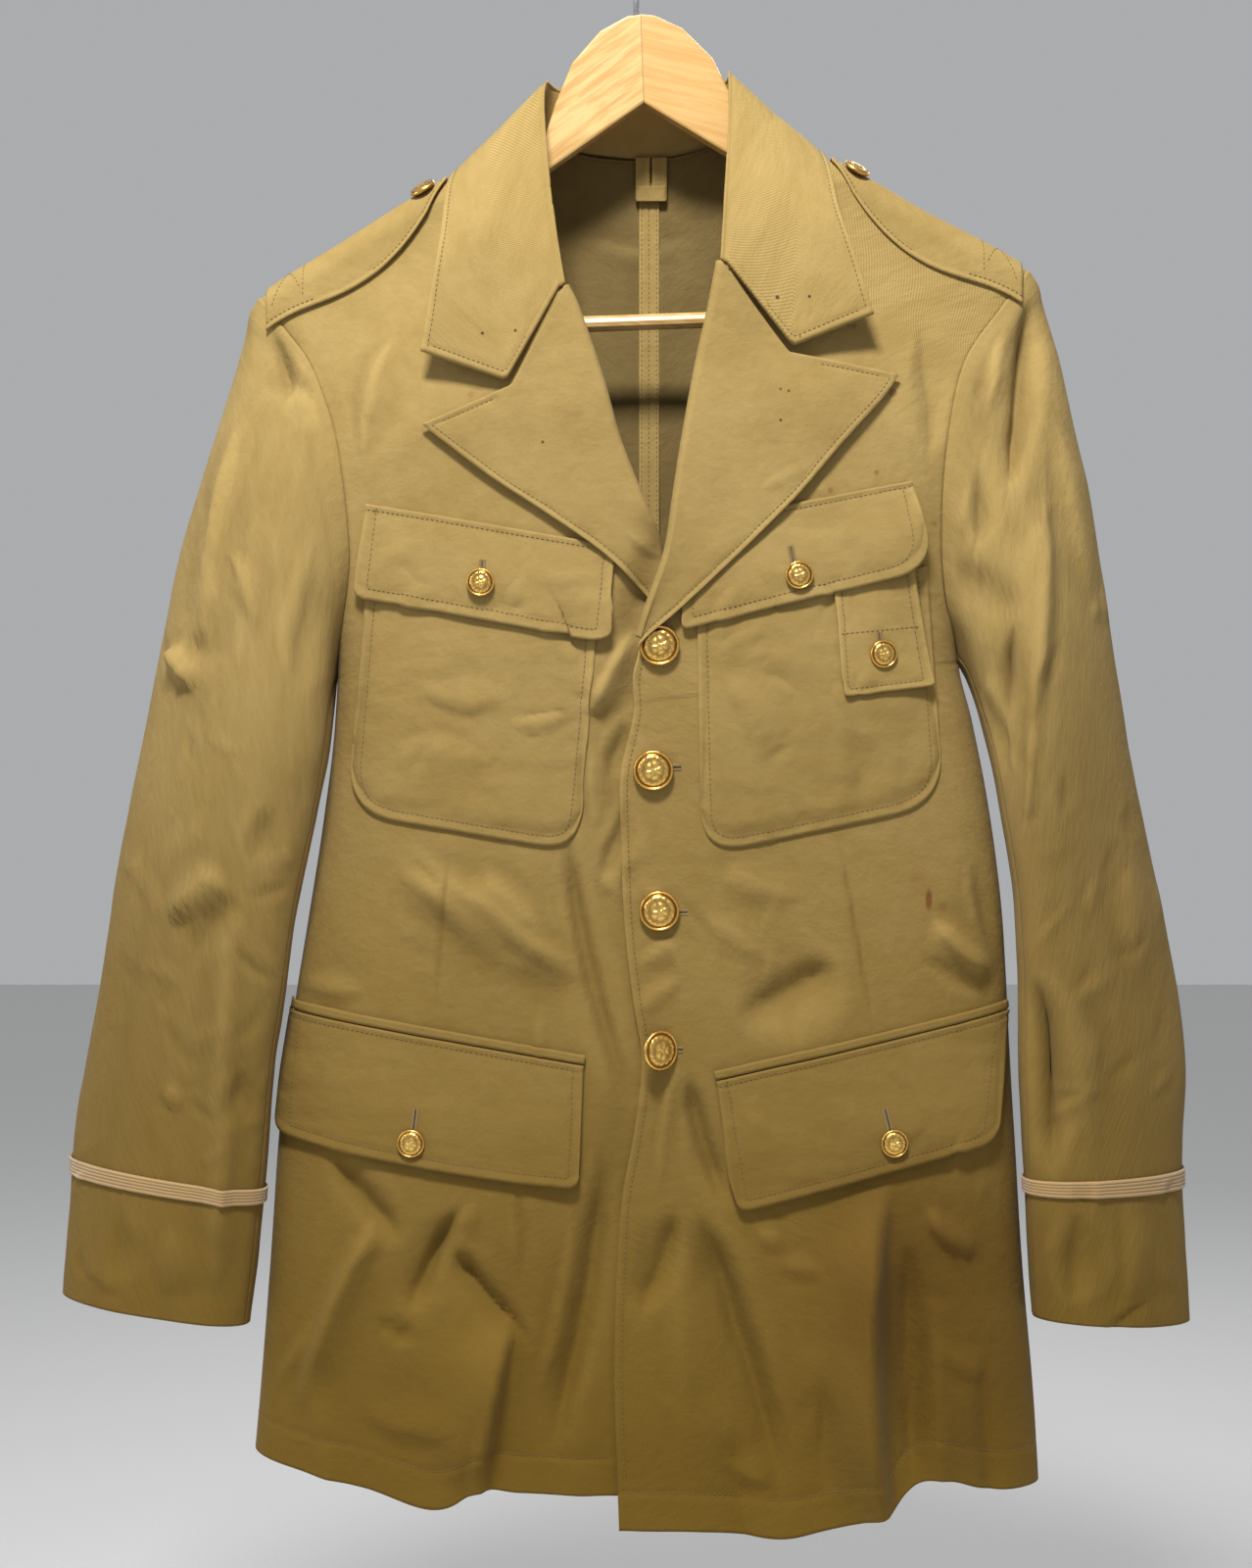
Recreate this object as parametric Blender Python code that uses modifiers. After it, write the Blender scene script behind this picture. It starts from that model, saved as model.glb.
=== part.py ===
"""Military service coat of khaki cotton, hanging on a wooden hanger.

Sizes are in millimetres in the tables and are scaled to metres when a mesh is made.
X runs to the viewer's right, the front of the coat faces -Y, and Z is up.
The origin is the point of the hook that hangs on its rail. "right" and "left" in
names are the wearer's, so the right side of the coat has negative X.
"""
import bmesh
import bpy
import numpy as np
from math import atan2, cos, pi, radians, sin
from mathutils import Matrix, Vector
from mathutils.bvhtree import BVHTree

MM = 0.001

# Cloth
WALL = 1.4               # thickness of the coat body and sleeves
TRIM_WALL = 1.2          # thickness of flaps, patches, collar and lapels
SEAM_GAP = 0.3           # between two pieces that are sewn edge to edge
ROUND_SEAM_GAP = 0.8     # the same at the middle of the wall, where the cloth turns
PLY = 1.85               # from one layer's middle to the next layer's middle
SIDE_POWER = 3.0         # how square the coat's cross-section is
RIDGE_RADIUS = 14.0      # bend of the cloth over the hanger arm
SHOULDER_FALL = 150.0    # drop over which the chest reaches its full depth
CENTRE_BACK = 8.0        # x of the centre back seam
NORMAL_STEP = 1.0        # step for the slope of a surface
HIT_REACH = 3.0          # how far a panel's faces may lie from its true surface

# Buttons
FRONT_BUTTON = 22.9      # diameter, 36 ligne
SMALL_BUTTON = 15.9      # diameter, 25 ligne
BUTTON_STEPS = 14

# Hanger
HANGER_TILT = 2.0        # degrees, its left arm is the higher one
ARM_THICKNESS = 11.0
BAR_DIAMETER = 9.5
WIRE_DIAMETER = 3.5
HOOK_RADIUS = 20.75      # to the middle of the wire
WOOD_TOP = -71.0

CLOTH = (0.30, 0.22, 0.10)
TRIM = (0.36, 0.26, 0.13)
GOLD = (0.75, 0.50, 0.15)
WOOD = (0.76, 0.53, 0.27)
STEEL = (0.55, 0.55, 0.55)


class Table:
    """Rows of sizes under named columns, read with a smooth curve along the first column."""

    def __init__(self, columns, *rows):
        values = np.array(sorted(rows), dtype=float)
        self.names = columns.split()
        self.place = values[:, 0]
        self.values = values[:, 1:]
        step = np.diff(self.place)[:, None]
        rise = np.diff(self.values, axis=0) / step
        slope = np.empty_like(self.values)
        slope[0] = rise[0]
        slope[-1] = rise[-1]
        slope[1:-1] = (step[1:] * rise[:-1] + step[:-1] * rise[1:]) / (step[1:] + step[:-1])
        self.slope = slope

    def at(self, column, place):
        """The column's value at one place or at an array of places."""
        index = self.names.index(column) - 1
        place = np.clip(place, self.place[0], self.place[-1])
        low = np.clip(np.searchsorted(self.place, place) - 1, 0, len(self.place) - 2)
        step = self.place[low + 1] - self.place[low]
        t = (place - self.place[low]) / step
        start = self.values[low, index]
        end = self.values[low + 1, index]
        leave = self.slope[low, index] * step
        arrive = self.slope[low + 1, index] * step
        return (start * (1 + 2 * t) * (1 - t) ** 2 + end * t * t * (3 - 2 * t)
                + leave * t * (1 - t) ** 2 - arrive * t * t * (1 - t))


# The coat's sides and its depth in front of and behind the hanger's plane, by height
SECTIONS = Table(
    "z right left front back",
    (-100, -250, 258, 46, 37),
    (-240, -232, 243, 46, 37),
    (-320, -204, 214, 47, 37),
    (-400, -184, 195, 48, 37),
    (-450, -174, 187, 48, 37),
    (-483, -175, 195, 47, 37),
    (-542, -182, 206, 46, 37),
    (-600, -191, 213, 45, 36),
    (-650, -199, 216, 45, 36),
    (-715, -207, 219.5, 46, 36),
    (-800, -213, 224.5, 47, 37),
    (-877, -219, 231, 48, 38),
    (-950, -226, 235, 49, 39),
)

# Height of the shoulder ridge, and of the open neck between the shoulders
SHOULDERS = Table(
    "x z",
    (-250, -262), (-219, -237), (-165, -203), (-108, -167), (-64, -139), (-50, -100),
    (-25, -55), (0, -42), (25, -50), (50, -94), (66, -131), (111, -156), (165, -187),
    (228, -221), (250, -236),
)

# Front edge of the left front, which laps over, and how far the right front lies behind it
FRONT_EDGE = Table(
    "z x under",
    (-385, 20, 8), (-415, 9.5, 8), (-438, 2.2, 8), (-448, 0.5, 8), (-459, -2.2, 7),
    (-478, -1.7, 5.5), (-517, -9.4, 4.5), (-550, -8.9, 4), (-604, -6.7, 4), (-643, -2.2, 4),
    (-675, 2.7, 4), (-715, -1.1, 4), (-755, -8.3, 4), (-794, -11.1, 4), (-847, -12.7, 4),
    (-942, -10, 4),
)
OVERLAP_START = 24.0     # the right front starts to dip this far outside the edge
OVERLAP_END = 4.0

# Each panel's two long edges: outer is the side seam and armhole, inner the front edge,
# roll line and neck, or the centre back seam
FRONT_RIGHT = Table(
    "row outer_x outer_z inner_x inner_z",
    (0, -223.5, -906, 32, -924), (1, -212, -790, 32, -800), (2, -203, -680, 32, -690),
    (3, -186, -573, 32, -580), (4, -174, -460, 32, -487), (5, -165, -408, 23, -434),
    (6, -164, -379, 11, -385), (7, -171, -325, -20, -297), (8, -186, -282, -41, -241),
    (9, -203, -258, -56, -192), (10, -219, -237, -64, -139),
)
FRONT_LEFT = Table(
    "row outer_x outer_z inner_x inner_z",
    (0, 233.5, -924, -10, -942), (1, 225, -790, -11, -800), (2, 218, -680, 2, -690),
    (3, 210, -573, -8, -580), (4, 186, -449, -2, -474), (5, 176.5, -415, 2.2, -438),
    (6, 173.5, -379, 18, -390), (7, 176, -330, 30, -313), (8, 187, -280, 48, -228),
    (9, 209, -247, 60, -176), (10, 228, -221, 66, -131),
)
BACK_RIGHT = Table(
    "row outer_x outer_z inner_x inner_z",
    (0, -223.5, -906, 8, -914), (1, -212, -790, 8, -800), (2, -203, -680, 8, -690),
    (3, -186, -573, 8, -580), (4, -174, -460, 8, -480), (5, -171, -412, 8, -430),
    (6, -170, -375, 8, -380), (7, -175, -325, 8, -325), (8, -188, -283, 8, -270),
    (9, -205, -257, 8, -210), (10, -219, -237, 8, -148),
)
BACK_LEFT = Table(
    "row outer_x outer_z inner_x inner_z",
    (0, 233.5, -924, 8, -914), (1, 225, -790, 8, -800), (2, 218, -680, 8, -690),
    (3, 210, -573, 8, -580), (4, 186, -449, 8, -480), (5, 181, -408, 8, -430),
    (6, 179, -370, 8, -380), (7, 183, -318, 8, -325), (8, 195, -270, 8, -270),
    (9, 212, -242, 8, -210), (10, 228, -221, 8, -148),
)
FRONT_ROWS = (0, 0.12, 0.4, 0.7, 1, 1.35, 1.7, 2, 2.3, 2.65, 3, 3.35, 3.7, 4, 4.5, 5, 5.35, 5.7, 6.05,
              6.4, 6.75, 7.1, 7.5, 8, 8.5, 9, 9.5, 9.78, 9.93, 10)
FRONT_SHARES = (0, 0.04, 0.09, 0.16, 0.24, 0.33, 0.42, 0.51, 0.6, 0.69, 0.78, 0.87, 0.94, 1)
BACK_SHARES = (0, 0.05, 0.13, 0.24, 0.37, 0.5, 0.63, 0.76, 0.89, 1)
BACK_ROWS = (0, 0.6, 1.4, 2.2, 3, 3.5, 4, 4.5, 5, 5.6, 6.3, 7, 7.7, 8.4, 9, 9.5, 9.78, 9.93, 10)
ROLL_SETBACK = 1.7       # the front stops this far short of the roll line
NECK_SETBACK = 2.1       # and this far short of the collar's seam
SHOULDER_BEND_START = 7.0

# Lower edge of the fronts by x
HEM_RIGHT = Table(
    "x z",
    (-224, -906), (-212, -909), (-191, -913), (-156, -920), (-104, -927.5), (-93, -921),
    (-66, -921), (-13, -923.5), (32, -924),
)
HEM_LEFT = Table(
    "x z",
    (-11, -942.5), (43, -943.5), (88, -947), (106, -943), (128, -937), (144, -932),
    (154, -921), (163, -916), (176, -916), (200, -923), (234, -924),
)

# Largest folds of the front and sleeves: three points of the crest, a width on each side
# of it, and a height, negative for a trough
FRONT_FOLDS = (
    # x0, z0, x1, z1, x2, z2, outer width, inner width, height
    (-140, -566, -83, -600, -29, -634, 10, 11, 4.5),
    (-92, -572, -74, -587, -50, -607, 7, 7, 2.5),
    (-40, -548, -34, -612, -1, -713, 7, 7, -3.5),
    (-146, -773, -169, -808, -188, -872, 10, 10, 5),
    (-101, -760, -118, -795, -131, -822, 9, 9, -4),
    (-104, -784, -90, -803, -59, -839, 8, 8, -4.5),
    (-26, -786, -31, -817, -45, -881, 9, 9, -6),
    (-72, -833, -80, -865, -92, -930, 26, 6, 9),
    (-172, -738, -153, -761, -137, -775, 7, 7, -3.5),
    (55, -653, 90, -637, 114, -621, 15, 15, -3.5),
    (168, -597, 182, -615, 208, -631, 8, 8, 3.5),
    (29, -683, 36, -723, 53, -762, 8, 8, -3.5),
    (22, -760, 13, -795, -1, -821, 9, 9, -3),
    (32, -763, 55, -821, 87, -935, 13, 13, -5.5),
    (141, -760, 136, -848, 145, -940, 22, 7, 9),
    (155, -775, 153, -848, 158, -930, 9, 11, -5),
    (163, -760, 177, -779, 195, -786, 8, 8, 3.5),
    (106, -862, 105, -880, 104, -905, 9, 9, -3.5),
    (-1, -432, -18, -464, -28, -482, 8, 8, 3),
    (-210, -251, -203, -284, -199, -302, 8, 8, -4),
    (-226, -304, -244, -391, -247, -449, 8, 8, 2.5),
    (-267, -441, -260, -455, -253, -466, 8, 8, 3),
    (-231, -572, -233, -754, -241, -817, 7, 7, 3),
    (-233, -567, -250, -583, -268, -599, 8, 8, 3),
    (218, -246, 216, -274, 204, -336, 8, 8, -6),
    (188, -397, 202, -410, 215, -424, 7, 7, -3),
    (215, -432, 208, -469, 206, -488, 8, 8, -4),
    (227, -356, 227, -420, 223, -488, 8, 8, 3),
    (225, -630, 230, -690, 236, -745, 9, 9, -5),
)
BACK_FOLDS = (
    (-150, -300, -120, -420, -95, -560, 20, 20, 4),
    (160, -300, 132, -430, 110, -570, 20, 20, 4),
    (-60, -620, -75, -760, -80, -910, 22, 22, -5),
    (75, -600, 88, -760, 96, -910, 24, 24, -5),
    (-150, -700, -158, -800, -165, -905, 18, 18, 4),
    (165, -690, 170, -800, 178, -915, 18, 18, 4),
)
FOLD_FADE = 0.22         # share of a fold's length over which each end dies away

# Sleeves: outer and inner edge in front view, half depth, middle plane, how far the
# inner edge stands forward, and the bow of the upper sections towards the chest
SLEEVE_RIGHT = Table(
    "row outer_x outer_z inner_x inner_z depth middle skew bow",
    (0, -219, -237, -176, -462, 30, 0, 0, 30), (1, -226, -254, -178, -468, 33, -2, 7, 23),
    (2, -239.5, -296, -178.5, -484, 36, -6, 13, 15), (3, -255.5, -347, -180, -512, 38, -9, 17, 9),
    (4, -268, -392, -185, -545, 38, -10, 18, 4), (5, -276.7, -432, -192, -578, 38, -10, 18, 1),
    (6, -284, -467, -197, -607, 37, -10, 18, 0), (7, -294, -520.6, -202, -642, 36, -10, 18, 0),
    (8, -308.8, -603.7, -208, -680, 35, -10, 17, 0), (9, -324.3, -685, -212, -716, 33, -10, 15, 0),
    (10, -331, -738, -215, -752, 32, -10, 15, 0), (11, -335.2, -818, -223, -830, 31, -10, 14, 0),
)
SLEEVE_LEFT = Table(
    "row outer_x outer_z inner_x inner_z depth middle skew bow",
    (0, 228, -221, 188, -451, 30, 0, 0, 30), (1, 235, -235, 192.5, -459, 33, -2, 7, 23),
    (2, 247.3, -269, 198, -478, 36, -6, 13, 15), (3, 258, -319, 206, -512, 38, -9, 17, 9),
    (4, 267, -366, 212, -548, 38, -10, 18, 4), (5, 276, -426.6, 217, -580, 38, -10, 18, 1),
    (6, 284, -473, 219.5, -607, 37, -10, 18, 0), (7, 292, -520.6, 221, -640, 36, -10, 18, 0),
    (8, 309.2, -600, 221, -680, 35, -10, 17, 0), (9, 320.5, -680, 222, -714, 33, -10, 17, 0),
    (10, 319.5, -745, 223, -746, 32, -10, 17, 0), (11, 323, -833.7, 227, -825, 31, -10, 15, 0),
)
SLEEVE_ROWS = (0, 0.35, 0.75, 1.2, 1.8, 2.5, 3.2, 4, 5, 6, 7, 8, 9, 10, 11)
SLEEVE_POWER = 2.3
SLEEVE_START = 1.5       # from the armhole's edge to the sleeve's first row
TOP_SLEEVE = (-62.0, 168.0)      # degrees round the sleeve: 0 outer edge, 90 front
UNDER_SLEEVE = (168.0, 298.0)
BRAID_ROWS = (10.0, 10.135)
BRAID_LIFT = 2.1         # from the sleeve's middle surface to the braid's

# Flat pieces that lie on the fronts: upper and lower corners, radii of the lower corners, drop
# of the lower edge's middle, and the layer at the top and at the lower edge's two ends
FLAT_PIECES = {
    "breast_pocket_right": dict(
        top=((-153.5, -404), (-22, -431)), bottom=((-165, -537), (-33.5, -559)),
        radii=(29, 23), sag=0, layers=(1.3, 1.45, 1.3)),
    "breast_pocket_left": dict(
        top=((34, -424), (165, -396)), bottom=((37, -561), (175, -532)),
        radii=(26, 30), sag=0, layers=(1.2, 1.2, 1.2)),
    "breast_flap_right": dict(
        top=((-153.5, -361), (-12, -386.3)), bottom=((-160, -414), (-17.5, -441)),
        radii=(7, 8), sag=0, layers=(1, 2.6, 2.4)),
    "breast_flap_left": dict(
        top=((29, -374), (156, -348.5)), bottom=((25, -434), (166, -399)),
        radii=(5, 24), sag=0, layers=(1, 2.1, 3.8)),
    "hip_flap_right": dict(
        top=((-199, -651), (-30, -680)), bottom=((-206, -721), (-33, -750)),
        radii=(9, 9), sag=3, layers=(1.3, 2.1, 2.1)),
    "hip_flap_left": dict(
        top=((45, -688.5), (213, -651)), bottom=((57, -763), (203, -725)),
        radii=(8, 11), sag=0, layers=(1.3, 2.4, 2.4)),
    "hip_welt_right": dict(
        top=((-198.5, -644.8), (-29, -674)), bottom=((-199, -650.2), (-29.5, -679.2)),
        radii=(0.6, 0.6), sag=0, layers=(1.3, 1.3, 1.3)),
    "hip_welt_left": dict(
        top=((43.5, -682.8), (212.5, -645.2)), bottom=((44.5, -687.7), (213, -650.2)),
        radii=(0.6, 0.6), sag=0, layers=(1.3, 1.3, 1.3)),
    "pocket_tab": dict(
        top=((111.5, -407), (156, -398)), bottom=((116, -471.5), (167, -465)),
        radii=(2, 2), sag=0, layers=(2.15, 2.4, 2.4)),
}
FLAP_SHARES = (0, 0.09, 0.18, 0.27, 0.36, 0.45, 0.55, 0.64, 0.73, 0.82, 0.91, 1)
HIP_SHARES = (0, 0.015, 0.035, 0.06, 0.09, 0.13, 0.19, 0.28, 0.42, 0.58, 0.74, 0.88, 1)
FLAP_ROWS = 5
POCKET_ROWS = 7
CORNER_STEPS = 4

# Collar: neck seam, fold and outer edge at eleven places round the neck, from the right
# front to the left front
COLLAR = Table(
    "place seam_x seam_y seam_z fold_x fold_y fold_z edge_x edge_y edge_z",
    (0, -41.5, -37, -241, -41, -47.5, -237, -121.8, -51, -275),
    (1, -53, -33, -205, -46.5, -40, -203, -118, -49, -252),
    (2, -59, -19, -166, -51.5, -25, -160, -112, -41, -212),
    (3, -62.5, 0, -136.5, -53.5, -3, -112, -106, -7, -164.5),
    (4, -46, 20.5, -142, -43, 24, -107, -80, 39, -172),
    (5, 8, 33.5, -145, 6, 32, -107, 7, 46, -176),
    (6, 57, 20.5, -137, 50, 24, -103, 92, 39, -162),
    (7, 65.5, 0, -128.5, 54, -3, -106, 108, -7, -153.5),
    (8, 62, -19, -156, 52.5, -25, -152, 116, -41, -197),
    (9, 58, -33, -192, 50, -40, -190, 127, -49, -232),
    (10, 48, -37, -228, 47.9, -47.5, -223.5, 133.5, -51, -254),
)
COLLAR_NOTCHES = ((-72.5, -290.5), (87, -271))
COLLAR_ROUND = 4.0       # width of the soft fold at the top of the stand
COLLAR_COLUMNS = 33
COLLAR_ROWS = (0, 0.5, 1, 1.25, 1.6, 2, 2.5, 3)

# Lapels: roll line and outer edge at eight places, from the gorge down to the break
LAPEL_RIGHT = Table(
    "place roll_x roll_z edge_x edge_z lift",
    (0, -41, -240, -121.5, -317, 4.4), (1, -34.5, -254, -109, -327, 4.4),
    (2, -21, -294, -82, -347.5, 4.4), (3, -12, -326, -50, -368.5, 4.2),
    (4, 0.5, -358, -18, -391, 4.6), (5, 11.5, -385, 4, -412.5, 3.1),
    (6, 13.5, -406, 11, -421, 1.9), (7, 22, -430, 20, -434, 1.9),
)
LAPEL_LEFT = Table(
    "place roll_x roll_z edge_x edge_z lift",
    (0, 47.7, -226, 149, -288, 4.4), (1, 42.5, -253, 138.5, -303, 4.4),
    (2, 36, -282, 117, -327, 4.8), (3, 28, -326, 90, -358.5, 5.6),
    (4, 23, -358, 58, -390.5, 6.2), (5, 18, -390, 26, -420.5, 6.6),
    (6, 7, -422, 5.5, -438, 6.7), (7, 2.2, -438, 0.8, -444, 4.9),
)
LAPEL_NOTCHES = ((-70.5, -295.5), (86, -276.5))
LAPEL_ROOT = 7.0         # the lapel is sewn this far inside the roll
LAPEL_ROOT_LAYER = 2.45  # from the front's middle surface back to the facing's
LAPEL_NOSE = 2.6         # the fold stands this far past the front's edge
LAPEL_ROLL_LIFT = 0.45   # the roll stands this much further out, as a share of the lift
LAPEL_COLUMNS = 17
LAPEL_ROWS = (0, 1, 1.5, 2, 2.6, 3.3, 4.1, 5)

# Shoulder loops: along the ridge from the sleeve to the tip, widths before and behind it
EPAULETTE = Table("place front back", (0, 33, 22), (0.86, 26, 17), (1, 9, 4))
EPAULETTE_ENDS = {"right": (-214, -109.5), "left": (223, 112.5)}
EPAULETTE_COLUMNS = 10
EPAULETTE_ROWS = 13
EPAULETTE_LIFT = 3.15    # from the coat's middle surface to the loop's

# Buttons: place in the front view, diameter, layers under it, turn to the side in degrees
FRONT_BUTTONS = (
    # x, z, layers, yaw
    (12.7, -442.3, 0, 0), (9.3, -512.9, 0, 0), (12.7, -592.3, 0, 0), (12.1, -670.6, 0, 35),
)
POCKET_BUTTONS = {
    "breast_button_right": (-87.6, -406.9, 2.5), "breast_button_left": (91.0, -403.0, 3.0),
    "hip_button_right": (-127.2, -723.9, 1.95), "hip_button_left": (145.0, -723.9, 2.2),
    "tab_button": (138.4, -447.0, 2.3),
}
EPAULETTE_BUTTONS = {"epaulette_button_right": -122.0, "epaulette_button_left": 126.0}
EPAULETTE_BUTTON_FORWARD = 8.0

COAT = None
PANELS = {}              # each front's faces, for what lies on it


def reset_scene():
    """Remove the objects of the start-up scene and make the part's collection."""
    for thing in list(bpy.data.objects):
        bpy.data.objects.remove(thing, do_unlink=True)
    collection = bpy.data.collections.new("military_service_coat")
    bpy.context.scene.collection.children.link(collection)
    return collection


def material(name, colour, roughness, metallic=0.0):
    """A plain finish of its own for one piece."""
    made = bpy.data.materials.new(name)
    made.use_nodes = True
    shader = made.node_tree.nodes["Principled BSDF"]
    shader.inputs["Base Color"].default_value = (*colour, 1.0)
    shader.inputs["Roughness"].default_value = roughness
    shader.inputs["Metallic"].default_value = metallic
    return made


def add_object(name, data, colour=CLOTH, roughness=0.85, metallic=0.0):
    """Put a mesh or curve into the collection under its node's name."""
    made = bpy.data.objects.new(name, data)
    COAT.objects.link(made)
    data.materials.append(material(name + "_finish", colour, roughness, metallic))
    return made


def smoothstep(t):
    """0 below 0, 1 above 1 and a soft step between."""
    t = np.clip(t, 0.0, 1.0)
    return t * t * (3 - 2 * t)


def fold_height(x, z, folds):
    """Sum of the folds at points of the front view or back view."""
    total = np.zeros(np.shape(x))
    steps = np.linspace(0, 1, 13)
    for x0, z0, x1, z1, x2, z2, outer, inner, height in folds:
        crest_x = (1 - steps) ** 2 * x0 + 2 * steps * (1 - steps) * x1 + steps ** 2 * x2
        crest_z = (1 - steps) ** 2 * z0 + 2 * steps * (1 - steps) * z1 + steps ** 2 * z2
        nearest = np.full(np.shape(x), np.inf)
        side = np.zeros(np.shape(x))
        along = np.zeros(np.shape(x))
        for i in range(len(steps) - 1):
            run_x = crest_x[i + 1] - crest_x[i]
            run_z = crest_z[i + 1] - crest_z[i]
            length = run_x ** 2 + run_z ** 2
            t = np.clip(((x - crest_x[i]) * run_x + (z - crest_z[i]) * run_z) / length, 0, 1)
            off_x = x - crest_x[i] - t * run_x
            off_z = z - crest_z[i] - t * run_z
            distance = np.hypot(off_x, off_z)
            closer = distance < nearest
            nearest = np.where(closer, distance, nearest)
            side = np.where(closer, off_x, side)
            along = np.where(closer, (i + t) / (len(steps) - 1), along)
        width = np.where(side < 0, outer, inner)
        ends = smoothstep(along / FOLD_FADE) * smoothstep((1 - along) / FOLD_FADE)
        total += height * ends * np.exp(-(nearest / width) ** 2)
    return total


def body_depth(x, z, side):
    """How far the coat's body stands before ("front") or behind ("back") the hanger."""
    right = SECTIONS.at("right", z)
    left = SECTIONS.at("left", z)
    middle = (right + left) / 2
    share = np.clip(np.abs(x - middle) / ((left - right) / 2), 0, 1)
    section = SECTIONS.at(side, z) * (1 - share ** SIDE_POWER) ** (1 / SIDE_POWER)
    drop = np.maximum(SHOULDERS.at("z", x) - z, 0)
    cap = RIDGE_RADIUS * np.sqrt(1 - (1 - np.minimum(drop / RIDGE_RADIUS, 1)) ** 2)
    fill = smoothstep(drop / SHOULDER_FALL)
    return cap * (1 - fill) + section * fill


def overlap_dip(x, z):
    """How far the right front lies behind the left front near the overlap."""
    edge = FRONT_EDGE.at("x", z)
    fade = smoothstep((x - edge + OVERLAP_START) / (OVERLAP_START - OVERLAP_END))
    return FRONT_EDGE.at("under", z) * fade * smoothstep((-360 - z) / 30)


def grid_normals(points):
    """Unit normals of a grid of points, from its rows and columns."""
    along = np.gradient(points, axis=1)
    down = np.gradient(points, axis=0)
    normal = np.cross(along, down)
    return normal / np.maximum(np.linalg.norm(normal, axis=2, keepdims=True), 1e-9)


def lift(points, height, outward):
    """Move a grid of points along its normals, which face the outward direction."""
    normal = grid_normals(points)
    facing = np.sum(normal * np.asarray(outward, dtype=float), axis=2)
    normal = normal * (1 if np.mean(facing) > 0 else -1)
    return points + normal * np.broadcast_to(height, points.shape[:2])[..., None]


def front_base(x, z, right_front):
    """The fronts' middle surface before its folds."""
    depth = np.maximum(body_depth(x, z, "front"), ROUND_SEAM_GAP / 2)
    if right_front:
        depth = depth - overlap_dip(x, z)
    return np.stack([x, -depth, z], axis=-1)


def back_base(x, z):
    """The back's middle surface before its folds."""
    return np.stack([x, np.maximum(body_depth(x, z, "back"), ROUND_SEAM_GAP / 2), z], axis=-1)


def resample(points, shares):
    """A curve's points at shares of its length, or a number of evenly spaced ones."""
    points = np.asarray(points, dtype=float)
    run = np.concatenate([[0], np.cumsum(np.linalg.norm(np.diff(points, axis=0), axis=1))])
    shares = np.linspace(0, 1, shares) if isinstance(shares, int) else np.asarray(shares)
    wanted = shares * run[-1]
    return np.stack([np.interp(wanted, run, points[:, i]) for i in range(points.shape[1])], 1)


def neck_height(x):
    """Height of the back's upper edge: the shoulder ridge, then the neck seam."""
    places = np.linspace(3, 7, 33)
    seam_x = COLLAR.at("seam_x", places)
    seam_z = COLLAR.at("seam_z", places) - 2.0
    return np.where((x > seam_x[0]) & (x < seam_x[-1]), np.interp(x, seam_x, seam_z),
                    SHOULDERS.at("z", x))


def inner_edge(edges, row, face):
    """The panel's inner edge at a row: front edge, roll line, neck, or centre back seam."""
    x = edges.at("inner_x", row)
    z = edges.at("inner_z", row)
    if face == "front_left" and row < 5:
        x = FRONT_EDGE.at("x", z)
    if face.startswith("front") and row >= 8:
        place = (row - 8) * 1.5
        place = place if face == "front_right" else 10 - place
        outward = -1 if face == "front_right" else 1
        x = COLLAR.at("seam_x", place) + outward * NECK_SETBACK
        z = min(COLLAR.at("seam_z", place) - NECK_SETBACK, SHOULDERS.at("z", x))
    elif face.startswith("front") and row >= 5:
        roll = LAPEL_RIGHT if face == "front_right" else LAPEL_LEFT
        outward = -1 if face == "front_right" else 1
        place = (8 - row) * 7 / 3
        x = roll.at("roll_x", place) + outward * ROLL_SETBACK
        z = roll.at("roll_z", place)
    return x, z


def panel_grid(edges, rows, columns, face):
    """Grid of a body panel in rows from the hem to the shoulder."""
    hem = {"front_right": HEM_RIGHT, "front_left": HEM_LEFT}.get(face)
    top = SHOULDERS.at if face.startswith("front") else None
    grid = []
    for row in rows:
        outer_x = edges.at("outer_x", row)
        outer_z = edges.at("outer_z", row)
        inner_x, inner_z = inner_edge(edges, row, face)
        if row < 4:
            outer_x = SECTIONS.at("right" if outer_x < 0 else "left", outer_z)
        turn = np.linspace(0, pi / 2, 241)
        share = 1 - np.cos(turn) ** (2 / SIDE_POWER)
        x = outer_x + (inner_x - outer_x) * share
        z = outer_z + (inner_z - outer_z) * share
        bend = smoothstep((row - SHOULDER_BEND_START) / (10 - SHOULDER_BEND_START))
        ridge = top("z", x) if top else neck_height(x)
        z = z + bend * (ridge - ridge[0] - (ridge[-1] - ridge[0]) * share)
        if hem is not None and row < 1:
            ruled = hem.at("z", outer_x) + (hem.at("z", inner_x) - hem.at("z", outer_x)) * share
            z = z + (1 - row) ** 2 * (hem.at("z", x) - ruled)
        if face.startswith("front"):
            curve = front_base(x, z, face == "front_right")
        else:
            curve = back_base(x, z)
        grid.append(resample(curve, columns))
    return np.array(grid)


def cloth_mesh(name, points, closed=False):
    """A mesh of triangles through a grid of points given in millimetres."""
    rows, columns = points.shape[:2]
    vertices = [tuple(Vector(p) * MM) for p in points.reshape(-1, 3)]
    faces = []
    for i in range(rows - 1):
        for j in range(columns if closed else columns - 1):
            k = (j + 1) % columns
            low = i * columns
            high = low + columns
            faces.append((low + j, low + k, high + k))
            faces.append((low + j, high + k, high + j))
    mesh = bpy.data.meshes.new(name)
    mesh.from_pydata(vertices, [], faces)
    mesh.validate()
    shape = bmesh.new()
    shape.from_mesh(mesh)
    bmesh.ops.recalc_face_normals(shape, faces=shape.faces)
    shape.to_mesh(mesh)
    shape.free()
    mesh.shade_smooth()
    return mesh


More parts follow.
